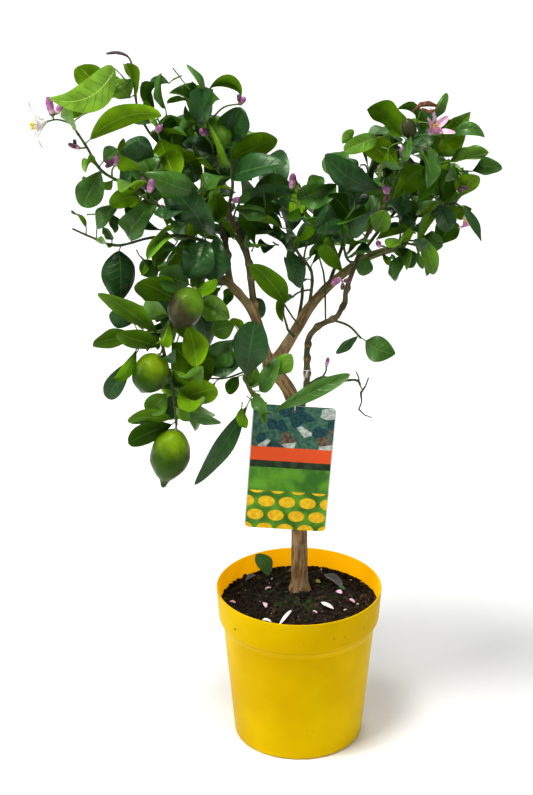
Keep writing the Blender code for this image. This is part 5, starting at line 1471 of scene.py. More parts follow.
green_leaves = [leaf for leaf in crown.leaves if leaf.kind != "petal"]
front_leaves = [leaf for leaf in green_leaves if leaf.kind == "leaf" and leaf.foot.y < 0.02]
other_leaves = [leaf for leaf in green_leaves if leaf not in front_leaves]
for name, leaves, tool in (("leaves", front_leaves, fine_blade), ("inner_leaves", other_leaves, plain_blade)):
    piece = bladed(name, leaves, leaf_numbers, leaves_tree, tool)
    seated(piece, {leaf.mass for leaf in leaves})

# %% [markdown]
# ## Twigs and leaf stalks
#
# A twig is a line that tapers. Drawing each as a chain of points and sweeping a small circle along it gives
# round twigs for little work. The stems are dark olive, the twigs on them are greener, and both swell a
# little at each node. A few twigs that stand out in the photo are given point by point.

# %% Twigs and leaf stalks
young_bark = mottled("young bark", (0.034, 0.07, 0.018), (0.075, 0.095, 0.025), 140, 0.6, 0.1, 0.0002,
                     (1, 1, 0.4))
green_shoot = mottled("green shoot", (0.04, 0.105, 0.014), (0.085, 0.15, 0.02), 160, 0.5, 0.15, 0.0001)
withered = mottled("withered tip", (0.045, 0.022, 0.036), (0.1, 0.055, 0.075), 200, 0.7)
browned = mottled("browned petals", (0.045, 0.01, 0.003), (0.18, 0.06, 0.01), 400, 0.8, grain=0.0004)
leaf_stalk = mottled("leaf stalk", (0.07, 0.15, 0.018), (0.12, 0.2, 0.03), 160, 0.45)
STEM, TWIG, STALK, WITHERED, BROWNED = range(5)
NODE_SWELLING = 0.22
FORK = 6.5 * CM


def strand_tree(finishes):
    tree = Tree("Strands", Sides=7)
    line = tree.add("GeometryNodeMeshToCurve", (), {"Mesh": tree.given()})
    round_line = tree.add("GeometryNodeCurvePrimitiveCircle", (),
                          {"Resolution": tree.given("Sides"), "Radius": 1.0}, "Curve")
    swept = tree.add("GeometryNodeCurveToMesh", (), {"Curve": line, "Profile Curve": round_line,
                                                     "Scale": tree.kept("thick"), "Fill Caps": True})
    tree.end(tree.painted(tree.realized(swept), finishes, tree.kept("shade")))
    return tree


def strands(name, finishes, lines, sides):
    """Sweeps every line: a list of points with a radius each, and the number of its finish."""
    points, edges, thick, shade = [], [], [], []
    for line, number in lines:
        edges += [(len(points) + k, len(points) + k + 1) for k in range(len(line) - 1)]
        points += [point for point, _ in line]
        thick += [radius for _, radius in line]
        shade += [number] * len(line)
    source = carrying(name + "_lines", points, edges, thick=thick, shade=shade)
    return grown(strand_tree(finishes), source, name, Sides=sides)


def fine_samples(path, nodes, step=3 * MM):
    """A branch at fine steps, with a swelling wherever a leaf leaves it."""
    line = []
    for mark in path.marks(0.0, step, 2):
        point = path.point(mark)
        near = min(((node - point).length for node in nodes), default=1)
        line.append((point, path.radius(mark) * (1 + NODE_SWELLING * math.exp(-(near / (2.2 * MM)) ** 2))))
    return line


def by_hand(number, *knots):
    """A twig through a few knots: each has its place in centimetres and its radius in millimetres."""
    return [(centimetres(place), radius * MM) for *place, radius in knots], number


twig_lines = []
for mass in MASSES:
    nodes = [leaf.node for leaf in crown.leaves if leaf.mass == mass]
    for number, path in enumerate(crown.branches[mass]):
        if mass == "bare_twig" and number == 0:
            knots = [path.point(k * 8 * MM) for k in range(1, 20)]
            half = [spot for spot in fine_samples(path, knots, 1.5 * MM) if spot[0].x < FORK]
            twig_lines.append((half, STEM))
        elif not in_opening(path.fine[-1]):
            twig_lines.append((fine_samples(path, nodes), TWIG if number else STEM))
twig_lines += [
    by_hand(STEM, (7.4, -2.6, 45.9, 0.8), (7.1, -2.6, 44.9, 0.9), (6.6, -2.6, 44.1, 1.4),
            (6.7, -2.6, 43, 0.8), (6.4, -2.6, 42.1, 1.1), (7.1, -2.6, 41.4, 0.7), (7.9, -2.6, 41.1, 0.5)),
    by_hand(STALK, (6.0, -2.4, 46.6, 0.6), (6.3, -2.6, 46, 1.0), (6.4, -2.7, 45.2, 1.1),
            (6.8, -2.7, 44.4, 0.7)),
    by_hand(STEM, (-1.9, -1.2, 54.4, 1.3), (-1.9, -0.8, 52.6, 1.2), (-1.4, -0.6, 50.7, 1.5),
            (-0.7, -0.3, 49.8, 1.6)),
    by_hand(STEM, (-1.9, -1.0, 54.0, 1.1), (-0.9, -0.9, 52.3, 1.1), (-0.2, -0.4, 51.2, 1.3)),
    by_hand(STEM, (1.9, -0.8, 59.3, 0.9), (2.4, -0.8, 57.5, 1.1), (2.6, -0.8, 55.9, 1.2),
            (2.7, -0.8, 51.6, 0.9)),
    by_hand(TWIG, (-11.7, -3, 78.4, 0.7), (-13.4, -3, 80.7, 0.7)),
    by_hand(TWIG, (11.5, -2.8, 72.8, 1.1), (11.8, -3.1, 74.6, 0.9), (12.2, -3.4, 76.2, 0.9)),
    by_hand(BROWNED, (11.3, -3.1, 76.0, 0.5), (12.2, -3.4, 76.9, 2.8), (13.1, -3.4, 77.0, 3.2),
            (14.2, -3.1, 76.6, 0.6)),
    by_hand(BROWNED, (12.3, -3.8, 76.6, 1.2), (13.1, -3.9, 76.2, 2.6), (13.9, -3.6, 76.5, 0.6)),
]
for leaf in green_leaves:
    sunk = leaf.node - (leaf.foot - leaf.node).normalized() * 0.4 * MM
    bow = (leaf.node + leaf.foot) / 2 + UP * 0.4 * MM
    stalk = zip((sunk, bow, leaf.foot, leaf.midrib(0.04)[0]), (0.95 * MM, 0.7 * MM, 0.75 * MM, 0.5 * MM))
    twig_lines.append((list(stalk), STALK))
top_stem = crown.branches["foliage_top_left"][0]
curl = [(top_stem.point(top_stem.length - 24 * MM + step * 2 * MM),
         (1.0 + 0.9 * math.sin(math.pi * step / 12) ** 0.7) * MM) for step in range(13)]
twig_lines += [([*ends], WITHERED) for ends in zip(curl, curl[1:])]
twigs = strands("twigs", [young_bark, green_shoot, leaf_stalk, withered, browned], twig_lines, 7)
seated(twigs, MASSES)

# %% [markdown]
# ## Bark
#
# The trunk and its boughs are brown wood with shallow lengthwise ridges and small knots. Separate tubes
# would show their joints, so all limbs are merged into one skin by a fine voxel remesh. Every corner then
# moves out or in by a noise that is stretched along its own limb, so that the ridges follow each bend.

# %% Bark
BARK_VOXEL = 0.95 * MM
RIDGE = 0.42 * MM
LUMP = 0.5 * MM
SAMPLE = 2 * MM
KNOT_EVERY = 22


def swell(step, knots):
    """How much a limb thickens at a step, from the nearest of its knots, given in millimetres."""
    return max(math.exp(-((step * 2 - knot) / 3.2) ** 2) for knot in knots)


def limb_lines():
    """Every limb at fine steps from inside its parent, with the trunk's root flare."""
    for name, path in crown.limbs.items():
        marks = [k * SAMPLE for k in range(int(path.length / SAMPLE) + 1)]
        line = [(path.point(mark), path.radius(mark), path.tangent(mark)) for mark in marks]
        if name == "trunk":
            foot = line[0][0].z
            line = [(p, r + ROOT_FLARE * max(0, 1 - (p.z - foot) / FLARE_HEIGHT) ** 2, t) for p, r, t in line]
            line.insert(0, (line[0][0] - UP * 4 * MM, line[0][1] + 0.5 * MM, line[0][2]))
        else:
            line = [(p, r * (1 + 0.35 * math.exp(-(k * 2 / 9) ** 2)), t) for k, (p, r, t) in enumerate(line)]
        if line[0][1] < 6 * MM:
            chance = random.Random(name + " knots")
            knots = [k * KNOT_EVERY + chance.uniform(0, 14) for k in range(1, 9)]
            line = [(p + t.orthogonal() * 0.6 * MM * swell(k, knots), r + 1.3 * MM * swell(k, knots), t)
                    for k, (p, r, t) in enumerate(line)]
        yield line


vertices, faces, centres = [], [], []
for line in limb_lines():
    shell, cells = ring_shell(tube_rings([(p, r) for p, r, _ in line], 18))
    faces += [tuple(len(vertices) + k for k in cell) for cell in cells]
    vertices += shell
    centres += line
limb_mesh = bpy.data.meshes.new("limbs")
limb_mesh.from_pydata([tuple(v) for v in vertices], [], faces)
limb_shells = shown("limb_shells", limb_mesh)
skin = limb_shells.modifiers.new("Skin", "REMESH")
skin.mode = "VOXEL"
skin.voxel_size = BARK_VOXEL
bark_piece = settled(limb_shells, "bark")
nearest = KDTree(len(centres))
for index, (point, _, _) in enumerate(centres):
    nearest.insert(point, index)
nearest.balance()
grain, slim = [], []
for vertex in bark_piece.data.vertices:
    point, radius, along = centres[nearest.find(vertex.co)[1]]
    radial = vertex.co - point
    length = radial.dot(along)
    spread = radial - along * length
    ridge = noise.fractal(spread * 420 + (point + along * length) * 55, 0.9, 2.1, 3)
    lump = noise.noise((point + along * length) * 38 + spread * 60)
    vertex.co += spread.normalized() * (RIDGE * ridge + LUMP * lump) * min(1, radius / (8 * MM))
    grain.append(ridge)
    slim.append(radius)
carry(bark_piece.data, "grain", grain)
carry(bark_piece.data, "slim", slim)

# %% [markdown]
# ## Bark finish
#
# Ridges are light tan and the furrows between them dark brown, with paler patches. The wood turns greener
# with height, and the thinnest limbs are dark olive.

# %% Bark finish
bark = Finish("bark", 0.85, 0.1)
ridges = bark.carried("grain")
patches = bark.speckle(45, 4)
height = bark.part(bark.place, "Z")
worn = bark.blend(bark.fade(ridges, -0.4, 0.45), (0.14, 0.084, 0.034), (0.35, 0.225, 0.098))
lichen = bark.blend(bark.fade(patches, 0.48, 0.7) * 0.7, worn, (0.32, 0.245, 0.14))
streaks = bark.fade(bark.speckle(260, 3, (1, 1, 0.12)), 0.5, 0.66)
streaked = bark.blend(streaks * 0.4, lichen, (0.1, 0.058, 0.026))
greener = bark.blend(bark.fade(height, 0.49, 0.6) * 0.6, streaked, (0.11, 0.13, 0.045))
thin = 1 - bark.fade(bark.carried("slim"), 3.6 * MM, 5.2 * MM)
darker = bark.blend(bark.fade(patches, 0.35, 0.6), (0.03, 0.028, 0.012), (0.088, 0.078, 0.036))
bark.feed("Base Color", bark.blend(thin * 0.9, greener, darker))
bark.relief(bark.speckle(900, 3, (1, 1, 0.3)) + ridges * 0.6, 0.6, 0.0006)
bark_piece.data.materials.append(bark.material)
seated(bark_piece, LIMBS)

# %% [markdown]
# ## A lathe
#
# The pot, the soil's mound, the fruit and the buds are all turned shapes. A lathe is a grid whose rows
# follow a profile and whose columns go round the axis. The tree reads each profile point by its index, so
# one tree turns them all, with ribs or dents round the axis where a shape has them.

# %% The lathe tree


def lathe_tree():
    tree = Tree("Lathe", Steps=64, Rows=2, Ribs=0, Depth=0.0)
    steps, rows = tree.given("Steps"), tree.given("Rows")
    grid = tree.add("GeometryNodeMeshGrid", (), {"Size X": 1.0, "Size Y": 1.0, "Vertices X": steps + 1,
                                                 "Vertices Y": rows}, "Mesh")
    index = tree.add("GeometryNodeInputIndex")
    profile = tree.add("GeometryNodeSampleIndex", {"data_type": "FLOAT_VECTOR"},
                       {"Geometry": tree.given(), "Value": tree.add("GeometryNodeInputPosition"),
                        "Index": tree.reckon("FLOORED_MODULO", index, rows)})
    spot = tree.part(profile)
    angle = tree.reckon("FLOOR", (index + 0.5) / rows) / steps * (2 * math.pi)
    radius = spot * (1 + tree.given("Depth") * tree.reckon("COSINE", angle * tree.given("Ribs")))
    turned = tree.join(radius * tree.reckon("COSINE", angle), radius * tree.reckon("SINE", angle),
                       spot.output("Z"))
    tree.end(tree.add("GeometryNodeMergeByDistance", (),
                      {"Geometry": tree.moved(grid, Position=turned), "Distance": 1e-5}))
    return tree


lathe = lathe_tree()


def lathed(name, profile, steps, finish, ribs=0, depth=0.0):
    """A closed turned mesh whose profile runs from axis to axis, with its faces made to point out."""
    source = carrying(name + "_profile", [(radius, 0, level) for radius, level in profile],
                      [(k, k + 1) for k in range(len(profile) - 1)])
    made = grown(lathe, source, name, Steps=steps, Rows=len(profile), Ribs=ribs, Depth=depth)
    build = bmesh.new()
    build.from_mesh(made.data)
    bmesh.ops.recalc_face_normals(build, faces=build.faces)
    build.to_mesh(made.data)
    build.free()
    made.data.materials.clear()
    made.data.materials.append(finish.material)
    return made


def rounded(points, radius, segments=4):
    """A profile whose corners are rounded, with the ends left where they are."""
    line = [Vector(point) for point in points]
    smooth = [line[0]]
    for before, corner, after in zip(line, line[1:], line[2:]):
        back, ahead = before - corner, after - corner
        cut = min(radius, back.length * 0.45, ahead.length * 0.45)
        start, end = corner + back.normalized() * cut, corner + ahead.normalized() * cut
        for k in range(segments + 1):
            share = k / segments
            smooth.append(start.lerp(corner, share).lerp(corner.lerp(end, share), share))
    return [tuple(point) for point in (*smooth, line[-1])]


print("lathe ready")

# %% [markdown]
# ## The pot
#
# A thin-walled pot of bright yellow plastic: a straight flared body, a rounded step, and a deeper collar
# with a soft lip. It could be cut from cylinders, but one turned profile takes all its radii from the named
# sizes. The colour does most of the work, under a weak yellow reflection and a very faint unevenness. The
# inner wall above the soil is painted orange and glows a little: painted light, for the light that comes
# through the thin wall. A dark band on the step under the collar is painted shade.

# %% The pot


def pot_inside(gap):
    """The inner wall from the lip down to the floor, moved inwards by a gap."""
    wall = POT_WALL + gap
    return [(RIM_RADIUS - wall, POT_HEIGHT - POT_WALL / 2), (COLLAR_FOOT_RADIUS - wall, COLLAR_FOOT + 0.002),
            (BODY_TOP_RADIUS - wall, BODY_TOP), (BASE_RADIUS - wall, POT_FLOOR + gap)]


def pot_profile():
    """From the inner floor up the inner wall, over the lip and down the outer side to the underside."""
    lip = POT_WALL / 2
    return [(0, POT_FLOOR), *reversed(pot_inside(0.0)), (RIM_RADIUS - lip, POT_HEIGHT),
            (RIM_RADIUS, POT_HEIGHT - lip), (COLLAR_FOOT_RADIUS + 0.0005, COLLAR_FOOT + 0.003),
            (COLLAR_FOOT_RADIUS - 0.0007, COLLAR_FOOT), (BODY_TOP_RADIUS + 0.0015, BODY_TOP + 0.002),
            (BODY_TOP_RADIUS, BODY_TOP - 0.002), (BASE_RADIUS + 0.0004, 0.004), (BASE_RADIUS - 0.0012, 0.001),
            (BASE_RADIUS - 0.003, 0), (0, 0)]


COLLAR_SLOPE = (RIM_RADIUS - COLLAR_FOOT_RADIUS) / (POT_HEIGHT - COLLAR_FOOT)
LOW = COLLAR_FOOT + 8 * MM
yellow = Finish("yellow plastic", 0.34, 0.015, specular_tint=(1.0, 0.72, 0.03), emission_strength=1.0)
height = yellow.part(yellow.place, "Z")
haze = yellow.fade(yellow.speckle(9, 3), 0.35, 0.65)
shell = yellow.blend(haze, (0.6, 0.37, 0.0002), (0.7, 0.466, 0.0003))
from_axis = yellow.reckon("LENGTH", yellow.place * Vector((1, 1, 0)))
wall = yellow.reckon("MULTIPLY_ADD", height - LOW, COLLAR_SLOPE,
                     RIM_RADIUS - COLLAR_SLOPE * (POT_HEIGHT - LOW))
inward = yellow.fade(wall - from_axis, 0.8 * MM, 1.3 * MM)
inner = inward * yellow.fade(height, COLLAR_FOOT + 11 * MM, COLLAR_FOOT + 14 * MM)
# Painted light: the inner wall above the soil is painted orange and made to glow, for the light that comes
# through the wall.
shell_with_painted_light_and_shade = yellow.blend(inner, shell, (0.95, 0.46, 0.002))
yellow.feed("Emission Color", yellow.blend(inner, (0, 0, 0), (0.5, 0.215, 0.0)))
# Painted shade: a dark band on the outside of the step under the collar.
line = (yellow.fade(height, BODY_TOP - 2.5 * MM, BODY_TOP)
        * (1 - yellow.fade(height, COLLAR_FOOT, COLLAR_FOOT + 1 * MM)))
shell_with_painted_light_and_shade = yellow.blend(line * (1 - inward) * 0.7, shell_with_painted_light_and_shade, (0.36, 0.19, 0.0002))
marks = yellow.fade(yellow.speckle(240, 1), 0.76, 0.8) * 0.5
yellow.feed("Base Color", yellow.blend(marks, shell_with_painted_light_and_shade, (0.3, 0.16, 0.01)))
yellow.feed("Roughness", 0.28 + 0.12 * yellow.speckle(30, 3))
yellow.relief(yellow.speckle(26) * 0.7 + yellow.speckle(1400) * 0.05, 0.35, 0.0008)
pot = lathed("pot_shell", rounded(pot_profile(), 0.7 * MM), 96, yellow)
seated(pot, ["pot"])

# %% [markdown]
# ## The soil
#
# Dark crumbly potting soil, heaped towards the trunk. The ground is a turned mound whose top is roughened in
# code. Crumbs of several sizes are scattered over it by Geometry Nodes, a few of them white grit, bark or
# moss.

# %% The mound
SOIL_BOTTOM = 0.12
ROUGHNESS = 3.6 * MM


def soil_profile():
    """The mound from its middle to the pot's wall, then down inside the wall and across under it."""
    rim, collar, body, _ = pot_inside(GAP)
    edge = collar[0] + (rim[0] - collar[0]) * (SOIL_EDGE - collar[1]) / (rim[1] - collar[1])
    mound = []
    for k in range(41):
        radius = edge * k / 40
        fall = min(1, max(0, (radius - SOIL_FLAT_RADIUS) / (edge - SOIL_FLAT_RADIUS)))
        mound.append((radius, SOIL_CROWN + (SOIL_EDGE - SOIL_CROWN) * (1 - math.cos(math.pi * fall)) / 2))
    return [*mound, (edge, SOIL_EDGE - 4 * MM), collar, body, (body[0], SOIL_BOTTOM), (0, SOIL_BOTTOM)]


soil = Finish("potting soil", 0.95, 0.08)
earth = soil.blend(soil.fade(soil.speckle(160, 4), 0.35, 0.7), (0.006, 0.0045, 0.003), (0.026, 0.018, 0.011))
from_axis = soil.reckon("LENGTH", soil.place * Vector((1, 1, 0)))
mossy = soil.fade(soil.speckle(28, 3), 0.5, 0.62) * (1 - soil.fade(from_axis, 0.03, 0.065))
soil.feed("Base Color", soil.blend(mossy * 0.7, earth, (0.03, 0.05, 0.012)))
soil.relief(soil.speckle(500, 4), 0.8, 0.002)
mound = lathed("soil_mound", soil_profile(), 120, soil)
for vertex in mound.data.vertices:
    if vertex.co.z > SOIL_EDGE - 2 * MM:
        inner = 1 - min(1, max(0, (vertex.co.to_2d().length - 0.084) / 0.006))
        rough = noise.fractal(vertex.co * 95, 0.8, 2.1, 4)
        vertex.co.z += ROUGHNESS * rough * (0.25 + 0.75 * inner)
seated(mound, ["soil"])

# %% Crumbs, grit and moss
crumb_finishes = [mottled(name, low, high, scale, 0.95, 0.1) for name, low, high, scale in (
    ("soil crumb", (0.007, 0.0055, 0.004), (0.028, 0.02, 0.012), 300),
    ("bark chip", (0.035, 0.021, 0.012), (0.08, 0.05, 0.028), 300),
    ("moss tuft", (0.016, 0.034, 0.006), (0.04, 0.07, 0.012), 400),
    ("white grit", (0.42, 0.41, 0.37), (0.6, 0.59, 0.55), 300))]


def crumb_tree(finishes):
    tree = Tree("Crumbs", Density=160000.0, Seed=7, Smallest=0.0004, Largest=0.004)
    facing = tree.part(tree.add("GeometryNodeInputNormal"), "Z")
    upper = tree.add("FunctionNodeCompare", {"data_type": "FLOAT", "operation": "GREATER_THAN"},
                     {"A": facing, "B": 0.5})
    spots = tree.add("GeometryNodeDistributePointsOnFaces", (),
                     {"Mesh": tree.given(), "Selection": upper, "Density": tree.given("Density"),
                      "Seed": tree.given("Seed")})
    ball = tree.add("GeometryNodeMeshIcoSphere", (), {"Radius": 1.0, "Subdivisions": 1}, "Mesh")
    draw = tree.chance(0.0, 1.0, 3)
    kind = (tree.reckon("GREATER_THAN", draw, 0.8) + tree.reckon("GREATER_THAN", draw, 0.93)
            + tree.reckon("GREATER_THAN", draw, 0.985))
    smallest = tree.given("Smallest")
    size = smallest + (tree.given("Largest") - smallest) * tree.chance(0, 1.0, 5) ** 5
    shape = tree.join(tree.chance(0.6, 1.6, 11), tree.chance(0.6, 1.2, 12), tree.chance(0.4, 0.9, 13))
    turn = tree.join(tree.chance(-0.6, 0.6, 21), tree.chance(-0.6, 0.6, 22), tree.chance(0.0, 6.28, 23))
    spin = tree.add("FunctionNodeEulerToRotation", (), {"Euler": turn})
    copies = tree.add("GeometryNodeInstanceOnPoints", (),
                      {"Points": spots, "Instance": ball, "Rotation": spin, "Scale": shape * size})
    marked = tree.add("GeometryNodeStoreNamedAttribute", {"data_type": "FLOAT", "domain": "INSTANCE"},
                      {"Geometry": copies, "Name": "kind", "Value": kind})
    place = tree.add("GeometryNodeInputPosition")
    rough = tree.add("ShaderNodeTexNoise", (), {"Vector": place, "Scale": 900.0, "Detail": 1.0}, "Color")
    dented = tree.moved(tree.realized(marked), Offset=(rough - Vector((0.5, 0.5, 0.5))) * 0.0014)
    tree.end(tree.painted(dented, finishes, tree.kept("kind")))
    return tree


crumb_ground = shown("crumb_ground", mound.data.copy())
crumbs = grown(crumb_tree(crumb_finishes), crumb_ground, "soil_crumbs", Density=130000.0)
seated(crumbs, ["soil"])

# %% [markdown]
# ## Green fruit
#
# Four young lemons: egg-shaped, with a nipple at the far end, a finely pitted rind and a green calyx where
# the stalk joins. Each rind passes from a dark shaded side to a yellower lit side, which is painted shade and
# painted light; on one fruit the shaded side is purple-brown, partly the blush of its flower and partly
# painted shade. They are turned on the lathe, bumped by a low noise so that no two are alike, and then placed
# along their own axes.

# %% Green fruit


def rind(name, shaded, lit, middle, toward, spread):
    """A pitted rind painted from its shaded colour to its lit one across the fruit: painted shade and painted
    light.
    """
    made = Finish(name, 0.34, 0.18, specular_tint=(0.8, 1.0, 0.3))
    side = made.reckon("DOT_PRODUCT", made.place - centimetres(middle), Vector(toward).normalized())
    blotch = (made.speckle(70, 3) - 0.5) * spread * 1.4
    made.feed("Base Color", made.blend(made.fade(side + blotch, -spread, spread), shaded, lit))
    pits = made.add("ShaderNodeTexVoronoi", (), {"Vector": made.place, "Scale": 620.0}, "Distance")
    made.relief(made.fade(pits, 0.0, 0.45) + made.speckle(120), 0.5, 0.0006)
    return made


# Painted light and shade: each rind turns from its shaded colour to its lit one about a middle point and along
# a direction; the first fruit's shaded colour is also its blush.
RINDS = [rind(*row) for row in (
    ("rind with blush", (0.03, 0.024, 0.012), (0.085, 0.18, 0.008), (-11.9, -5.3, 55.5),
     (0.8, 0.15, 0.6), 0.01),
    ("rind yellow green", (0.013, 0.048, 0.001), (0.175, 0.275, 0.003), (-16, -6.5, 50),
     (0.5, -0.4, 0.8), 0.014),
    ("rind green", (0.018, 0.056, 0.002), (0.19, 0.325, 0.004), (-14, -6.6, 40.5), (0.2, -0.3, 1), 0.015),
    ("young rind", (0.016, 0.015, 0.009), (0.04, 0.042, 0.018), (11, -3.7, 74.5), (0.5, -0.5, 1), 0.01))]
calyx = mottled("calyx", (0.15, 0.21, 0.02), (0.23, 0.29, 0.035), 200, 0.6, grain=0.0002)
LEMON = ((0, 0), (0.26, 0.005), (0.48, 0.05), (0.78, 0.15), (0.96, 0.29), (1.0, 0.41), (0.95, 0.55),
         (0.8, 0.67), (0.54, 0.78), (0.31, 0.85), (0.2, 0.91), (0.13, 0.97), (0, 1))
OVAL = ((0, 0), (0.3, 0.01), (0.58, 0.06), (0.83, 0.17), (0.97, 0.32), (1.0, 0.47), (0.96, 0.63),
        (0.84, 0.77), (0.62, 0.88), (0.4, 0.94), (0.2, 0.975), (0.1, 0.99), (0, 1))
CALYX = ((0, -2.4), (1.3, -2.3), (1.6, -1), (2.6, -0.4), (3.9, 0.7), (4.3, 1.5), (3.4, 1.9), (0, 1.6))


def lemon_profile(length, radius, nipple):
    """A smooth profile between an oval and a lemon with a long nipple."""
    share = min(1, nipple / 0.2)
    points = [Vector(oval).lerp(Vector(lemon), share) for oval, lemon in zip(OVAL, LEMON)]
    path = Path([Vector((point.x * radius, 0, point.y * length)) for point in points])
    spots = [path.point(path.length * k / 44) for k in range(1, 44)]
    return [(0, 0), *((max(0, spot.x), spot.z) for spot in spots), (0, length)]


def turned_about(made, foot, direction, bumps=0.0):
    """Moves a lathed mesh from the axis to its place, with a low unevenness."""
    turn = UP.rotation_difference(direction)
    for vertex in made.data.vertices:
        spot = vertex.co.copy()
        if bumps:
            spot += Vector((spot.x, spot.y, 0)) * bumps * noise.noise(spot * 70 + foot * 200)
        vertex.co = foot + turn @ spot
    made.data.update()
    return made


fruit_pieces = []
for number, (mass, stalk, end, radius, nipple) in enumerate(crown.fruits):
    profile = lemon_profile((end - stalk).length, radius * 1.06, nipple)
    lemon = lathed(f"fruit_{number}", profile, 48, RINDS[number])
    fruit_pieces.append(turned_about(lemon, stalk, end - stalk, 0.1))
    scale = MM * radius / (18 * MM)
    cup = lathed(f"calyx_{number}", [(r * scale, z * scale) for r, z in CALYX], 30, calyx, 5, 0.16)
    fruit_pieces.append(turned_about(cup, stalk, end - stalk))


def fused(pieces, name):
    """Several finished meshes as one piece."""
    build = bmesh.new()
    finishes = []
    for piece in pieces:
        first = len(build.faces)
        build.from_mesh(piece.data)
        build.faces.ensure_lookup_table()
        for face in build.faces[first:]:
            material = piece.data.materials[face.material_index]
            if material not in finishes:
                finishes.append(material)
            face.material_index = finishes.index(material)
            face.smooth = True
        bpy.data.objects.remove(piece)
    mesh = bpy.data.meshes.new(name)
    for material in finishes:
        mesh.materials.append(material)
    build.to_mesh(mesh)
    build.free()
    return shown(name, mesh)


fruit = fused(fruit_pieces, "fruit")
seated(fruit, sorted({row[0] for row in crown.fruits}))

# %% [markdown]
# ## Flower buds
#
# Buds are slender and waxy: a small green cup, a pale base and a purple-pink tip, with faint ribs where the
# petals meet. The colours follow the length of the bud, so each is a band of faces with its own plain
# finish. Small dark buds stand in twos, threes and fours at the twigs.

# %% Flower buds
WAXY = {"roughness": 0.32, "specular_tint": (1, 0.8, 0.95)}
BUD_FINISHES = [mottled("bud cup", (0.075, 0.11, 0.025), (0.11, 0.15, 0.035), 200, 0.55),
                mottled("bud base", (0.56, 0.3, 0.42), (0.68, 0.43, 0.54), 200, **WAXY),
                mottled("bud side", (0.36, 0.115, 0.255), (0.52, 0.215, 0.39), 200, **WAXY),
                mottled("bud tip", (0.19, 0.05, 0.145), (0.33, 0.11, 0.26), 200, **WAXY)]
DARK_BUD = mottled("young bud", (0.045, 0.014, 0.028), (0.13, 0.04, 0.075), 300, **WAXY)
DARK_FINISHES = [BUD_FINISHES[0], DARK_BUD, DARK_BUD, DARK_BUD]
BUD_PROFILE = ((0, -0.6), (0.16, -0.58), (0.2, -0.52), (0.34, -0.46), (0.42, -0.41), (0.36, -0.39),
               (0.4, -0.33), (0.47, -0.18), (0.5, 0.0), (0.49, 0.14), (0.43, 0.28), (0.31, 0.41),
               (0.16, 0.48), (0, 0.5))
BUD_BANDS = (-0.39, -0.12, 0.12)


def bud_piece(number, middle, outward, length, thickness, finishes):
    profile = [(radius * thickness, level * length) for radius, level in BUD_PROFILE]
    made = lathed(f"bud_{number}", profile, 20, finishes[0], 5, 0.06)
    for finish in finishes[1:]:
        made.data.materials.append(finish.material)
    for face in made.data.polygons:
        face.material_index = sum(face.center.z / length > band for band in BUD_BANDS)
    return turned_about(made, middle, outward)


CLUSTERS = ((-19.8, -4.6, 70.9, 4), (-17.2, -4, 68.9, 3), (-9.3, -0.5, 74.4, 4), (-23.9, -4.8, 72.9, 3),
            (-6.7, 0, 77.2, 2), (0.5, -3, 58.4, 2), (16.8, -2.2, 66.6, 3), (12.2, -4, 72.3, 2),
            (8.6, -4.2, 67.2, 2), (5, -3.6, 57.1, 3), (-14.6, -4.2, 66.2, 2), (1.2, -2.6, 67.2, 2))


def young_buds():
    """Small dark buds in twos, threes and fours on short stalks, next to the nearest twig of each place."""
    made, lines = [], []
    points = [point for paths in crown.branches.values() for path in paths for point in path.fine]
    for x, y, z, count in CLUSTERS:
        middle = centimetres((x, y, z))
        chance = random.Random(f"bud {x} {z}")
        root = min(points, key=lambda point: (point - middle).length)
        outward = (middle - root).normalized()
        for k in range(count):
            way = (outward + Vector([chance.uniform(-0.9, 0.9) for _ in range(3)])).normalized()
            size = chance.uniform(3.4, 5.2) * MM
            spot = root + outward * 3 * MM + way * chance.uniform(4, 7) * MM
            made.append(bud_piece(f"{x}_{k}", spot, way, size * 1.5, size, DARK_FINISHES))
            lines.append(([(root, 0.8 * MM), (root + outward * 3 * MM, 0.7 * MM),
                           (spot - way * size * 0.6, 0.6 * MM)], 0))
    return made, lines


open_buds = []
for number, (_, middle, outward, length, thickness) in enumerate(crown.buds):
    upright = (outward + UP * 0.55).normalized()
    place = middle - outward * length / 2 + upright * length * 0.68
    open_buds.append(bud_piece(number, place, upright, length * 1.35, thickness * 1.12, BUD_FINISHES))
dark_buds, bud_stalks = young_buds()
bud_masses = sorted({bud[0] for bud in crown.buds})
seated(fused(open_buds + dark_buds, "buds"), bud_masses)
seated(strands("bud_stalks", [green_shoot], bud_stalks, 6), bud_masses)

# %% [markdown]
# ## Open flowers
#
# Petals are thick straps that curve back, white inside and flushed pink outside. They are leaves to the leaf
# tree, with another blade and other finishes. A ring of stamens with yellow heads stands in each flower.

# %% Petals
PETAL_FINISHES = [mottled("petal " + name, low, high, 120, gloss) for name, low, high, gloss in (
    ("white inside", (0.8, 0.77, 0.74), (0.9, 0.88, 0.86), 0.45),
    ("white outside", (0.72, 0.61, 0.63), (0.85, 0.78, 0.78), 0.45),
    ("white rib", (0.66, 0.6, 0.58), (0.76, 0.72, 0.7), 0.45),
    ("pink inside", (0.62, 0.35, 0.47), (0.78, 0.52, 0.62), 0.45),
    ("pink outside", (0.4, 0.11, 0.25), (0.58, 0.24, 0.4), 0.42),
    ("pink rib", (0.56, 0.28, 0.4), (0.68, 0.4, 0.5), 0.42))]
petal_tree = leaf_tree(PETAL_FINISHES)


